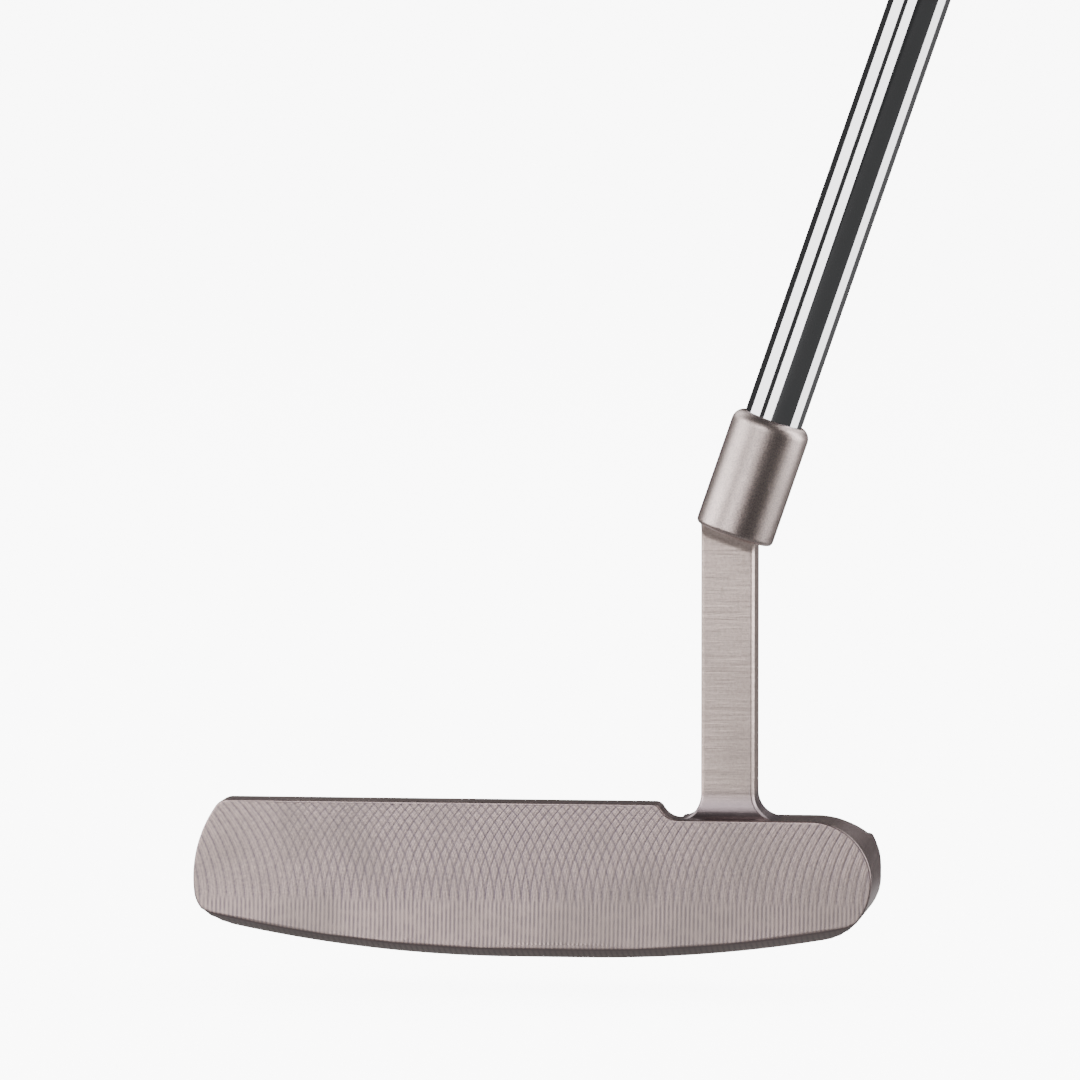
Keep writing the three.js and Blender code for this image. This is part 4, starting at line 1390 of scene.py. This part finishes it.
def seal_ring(settings, side):
    """A square seal with rounded corners under the weight's head."""
    weight = settings.weight
    inner = weight.thread / 2 + weight.gap
    outer = weight.head / 2
    top = -weight.recess - weight.head_depth - weight.gap
    bottom = top - weight.ring
    edge = 0.25 * MM
    profile = arc((outer - edge, top - edge), edge, 0.0, 90.0, 4)
    profile += arc((inner + edge, top - edge), edge, 90.0, 180.0, 4)
    profile += arc((inner + edge, bottom + edge), edge, 180.0, 270.0, 4)
    profile += arc((outer - edge, bottom + edge), edge, 270.0, 360.0, 4)
    piece = tube(f"{side}_seal_ring", profile, weight_matrix(side), 72)
    return shade(piece, 40.0)


# ---- studio --------------------------------------------------------------------------------------


def soft_panel(name, azimuth, elevation, distance, size, radiance, target, upright=(0, 0, 1)):
    """A soft rectangular light that faces a target, placed by its direction from it."""
    lamp = bpy.data.lights.new(name, "AREA")
    lamp.shape = "RECTANGLE"
    lamp.size, lamp.size_y = size
    lamp.energy = radiance * math.pi * size[0] * size[1]
    lamp.color = (1.0, 0.985, 0.97)
    away = outwards(math.radians(azimuth), math.radians(elevation))
    across = Vector(upright).cross(away).normalized()
    turned_to = Matrix((across, away.cross(across), away)).transposed()
    panel = bpy.data.objects.new(name, lamp)
    panel.location = target + away * distance
    panel.rotation_euler = turned_to.to_euler()
    panel.visible_camera = False
    bpy.context.scene.collection.objects.link(panel)


def studio_world():
    """A white room to the camera, soft to matt surfaces and dark to bright ones."""
    world = bpy.data.worlds.new("Studio")
    world.use_nodes = True
    bpy.context.scene.world = world
    graph = Graph(world.node_tree)
    background = world.node_tree.nodes["Background"]
    ray = graph.node("ShaderNodeLightPath").outputs
    camera = graph.math("MULTIPLY", ray["Is Camera Ray"], 10.0)
    other = graph.math("SUBTRACT", 1.0, ray["Is Camera Ray"])
    glossy = graph.math("MULTIPLY_ADD", ray["Is Glossy Ray"], -0.45, 0.5)
    strength = graph.math("MULTIPLY_ADD", other, glossy, camera)
    background.inputs["Color"].default_value = (1.0, 1.0, 1.0, 1.0)
    graph.feed(background.inputs["Strength"], strength)


def studio_floor():
    """A wide pale floor that leaves room for the unscrewed weights, dark to bright surfaces save for a
    painted glow round the club.
    """
    travels = [joint["range_m"][1] for joint in record()["behaviour"]["joints"] if "range_m" in joint]
    level = -max(travels) - MM
    around = [(-40.0, -40.0), (40.0, -40.0), (40.0, 40.0), (-40.0, 40.0)]
    floor = mesh_object("studio_floor", [(x, y, level) for x, y in around], [(0, 1, 2, 3)])
    graph = Surface("Pale floor")
    ray = graph.node("ShaderNodeLightPath").outputs
    tone = graph.blend(ray["Is Glossy Ray"], (0.86, 0.86, 0.86), (0.03, 0.03, 0.03))
    # Painted glow: to reflections only, the floor glows round the club. The glow is strongest close to
    # the club and behind it, and the sole and the shaft reflect it.
    reach = graph.vectors("LENGTH", graph.where)["Value"]
    near = graph.fade(reach, 0.08, 0.2, 0.24, 0.025)
    behind = graph.fade(graph.split(graph.where)[1], 0.02, 0.06, 1.0, 3.0)
    near = graph.math("MULTIPLY", near, behind)
    glow = graph.math("MULTIPLY", ray["Is Camera Ray"], 8.5)
    glow = graph.math("MULTIPLY_ADD", ray["Is Glossy Ray"], near, glow)
    graph.shader["Specular IOR Level"].default_value = 0.1
    graph.shader["Emission Color"].default_value = (1.0, 1.0, 1.0, 1.0)
    graph.feed(graph.shader["Emission Strength"], glow)
    floor.data.materials.append(graph.dress(tone, 0.9))


def studio_camera(stage):
    """The camera, in front of the face and a little towards the heel."""
    camera = bpy.data.cameras.new("Camera")
    camera.sensor_width = 36.0
    camera.lens = camera.sensor_width * stage.distance / stage.view_width
    camera.clip_start = 0.01
    camera.clip_end = 200.0
    piece = bpy.data.objects.new("Camera", camera)
    away = outwards(stage.azimuth, stage.elevation)
    piece.location = Vector((-stage.view_shift, 0.0, stage.view_height)) + away * stage.distance
    piece.rotation_euler = away.to_track_quat("Z", "Y").to_euler()
    bpy.context.scene.collection.objects.link(piece)
    bpy.context.scene.camera = piece


# ---- operators -----------------------------------------------------------------------------------


def settings_of(context):
    """The putter's settings in the open scene."""
    return context.scene.putter


class PUTTER_OT_stage(bpy.types.Operator):
    """Builds the floor, the lights and the camera"""

    bl_idname = "putter.stage"
    bl_label = "Build Studio"

    def execute(self, context):
        stage = settings_of(context).stage
        target = Vector((0.0, 0.0, 0.08))
        front, back = stage.front_light, stage.back_light
        studio_world()
        studio_floor()
        soft_panel("front_panel", -18.0, 12.0, 1.6, (0.9, 1.6), front, target)
        soft_panel("left_panel", -78.0, 15.0, 1.6, (1.5, 1.6), front, target)
        soft_panel("right_strip", 101.0, 10.0, 1.6, (0.5, 1.4), front, target)
        _, along = mount("butt_end")
        beside = shaft_matrix() @ Vector((0.0, 0.0, 0.318))
        soft_panel("side_card", 98.0, -18.5, 0.14, (0.1, 0.5), 0.8 * front, beside, along)
        soft_panel("rear_left_panel", -140.0, 38.0, 1.8, (1.3, 1.1), back, target)
        soft_panel("rear_right_panel", 140.0, 38.0, 1.8, (1.3, 1.1), back, target)
        studio_camera(stage)
        return {"FINISHED"}


class PUTTER_OT_head(bpy.types.Operator):
    """Builds the milled head and the paint in its sight line"""

    bl_idname = "putter.head"
    bl_label = "Build Head"

    def execute(self, context):
        settings = settings_of(context)
        material = milled_steel(settings)
        place(milled_head(settings), "club", ["head_body"], material)
        place(sight_line(settings), "club", ["sight_line_fill"], enamel())
        return {"FINISHED"}


class PUTTER_OT_neck(bpy.types.Operator):
    """Builds the post and the hosel"""

    bl_idname = "putter.neck"
    bl_label = "Build Neck"

    def execute(self, context):
        settings = settings_of(context)
        material = neck_steel(settings)
        place(neck_and_hosel(settings), "club", ["plumbers_neck"], material)
        return {"FINISHED"}


class PUTTER_OT_shaft(bpy.types.Operator):
    """Builds the shaft and the plug in its tip"""

    bl_idname = "putter.shaft"
    bl_label = "Build Shaft"

    def execute(self, context):
        settings = settings_of(context)
        clean, marked = (0.80, 0.81, 0.84), (0.70, 0.70, 0.72)
        gloss = settings.finish.chrome_roughness
        chrome = plain_metal("Chrome", settings.finish, clean, marked, gloss, 0.06)
        place(steel_shaft(settings), "club", ["shaft"], chrome)
        place(tip_plug(settings), "club", ["shaft_tip_plug"], cork())
        return {"FINISHED"}


class PUTTER_OT_grip(bpy.types.Operator):
    """Builds the tape, the grip and its cap"""

    bl_idname = "putter.grip"
    bl_label = "Build Grip"

    def execute(self, context):
        settings = settings_of(context)
        dark, worn = (0.028, 0.028, 0.031), (0.05, 0.05, 0.052)
        sleeve = rubber("Grip rubber", dark, worn, 0.62, 0.06 * MM)
        dark, worn = (0.022, 0.022, 0.024), (0.035, 0.035, 0.036)
        cap = rubber("Cap rubber", dark, worn, 0.4, 0.02 * MM)
        place(tape_wrap(settings), "club", ["grip_tape"], paper_tape())
        place(rubber_grip(settings), "club", ["grip_sleeve"], sleeve)
        place(grip_cap(settings), "club", ["grip_end_cap"], cap)
        return {"FINISHED"}


class PUTTER_OT_weights(bpy.types.Operator):
    """Builds the two sole weights and their seals"""

    bl_idname = "putter.weights"
    bl_label = "Build Sole Weights"

    def execute(self, context):
        settings = settings_of(context)
        clean, marked = (0.62, 0.60, 0.58), (0.36, 0.33, 0.31)
        steel = plain_metal("Weight steel", settings.finish, clean, marked, 0.24, 0.2)
        dark, worn = (0.012, 0.012, 0.012), (0.03, 0.03, 0.03)
        seal = rubber("Seal rubber", dark, worn, 0.6, 0.02 * MM)
        for side in ("toe", "heel"):
            screw = sole_weight(settings, side)
            place(screw, f"{side}_screw", [f"{side}_weight"], steel)
            ring = seal_ring(settings, side)
            place(ring, f"{side}_seal", [f"{side}_weight_ring"], seal)
        return {"FINISHED"}


class PUTTER_PT_panel(bpy.types.Panel):
    """Settings and buttons for the putter"""

    bl_label = "Blade Putter"
    bl_idname = "PUTTER_PT_panel"
    bl_space_type = "VIEW_3D"
    bl_region_type = "UI"
    bl_category = "Putter"

    def draw(self, context):
        layout = self.layout
        settings = settings_of(context)
        for label, group, operator in PANEL_ROWS:
            block = layout.box()
            block.label(text=label)
            source = getattr(settings, group)
            for name in source.__annotations__:
                block.prop(source, name)
            if operator:
                block.operator(operator)


PANEL_ROWS = [
    ("Head", "head", "putter.head"),
    ("Milling", "milling", None),
    ("Neck", "neck", "putter.neck"),
    ("Shaft", "shaft", "putter.shaft"),
    ("Grip", "grip", "putter.grip"),
    ("Sole weights", "weight", "putter.weights"),
    ("Finish", "finish", None),
    ("Studio", "stage", "putter.stage"),
]

CLASSES = [
    HeadSettings,
    MillingSettings,
    NeckSettings,
    ShaftSettings,
    GripSettings,
    WeightSettings,
    FinishSettings,
    StageSettings,
    PutterSettings,
    PUTTER_OT_stage,
    PUTTER_OT_head,
    PUTTER_OT_neck,
    PUTTER_OT_shaft,
    PUTTER_OT_grip,
    PUTTER_OT_weights,
    PUTTER_PT_panel,
]


def register():
    for kind in CLASSES:
        bpy.utils.register_class(kind)
    bpy.types.Scene.putter = PointerProperty(type=PutterSettings)


def unregister():
    del bpy.types.Scene.putter
    for kind in reversed(CLASSES):
        bpy.utils.unregister_class(kind)


# ---- scene ---------------------------------------------------------------------------------------


def corners(bounds):
    """Two corners as plain lists."""
    return [[float(value) for value in corner] for corner in bounds]


def main():
    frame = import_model()
    register()
    bpy.context.scene["putter_record"] = json.dumps(frame["record"])
    cutter_arcs_group()
    handling_group()
    tool_lines_group()
    bpy.ops.putter.stage()
    bpy.ops.putter.head()
    bpy.ops.putter.neck()
    bpy.ops.putter.shaft()
    bpy.ops.putter.grip()
    bpy.ops.putter.weights()
    bpy.context.view_layer.update()


if __name__ == "__main__":
    main()
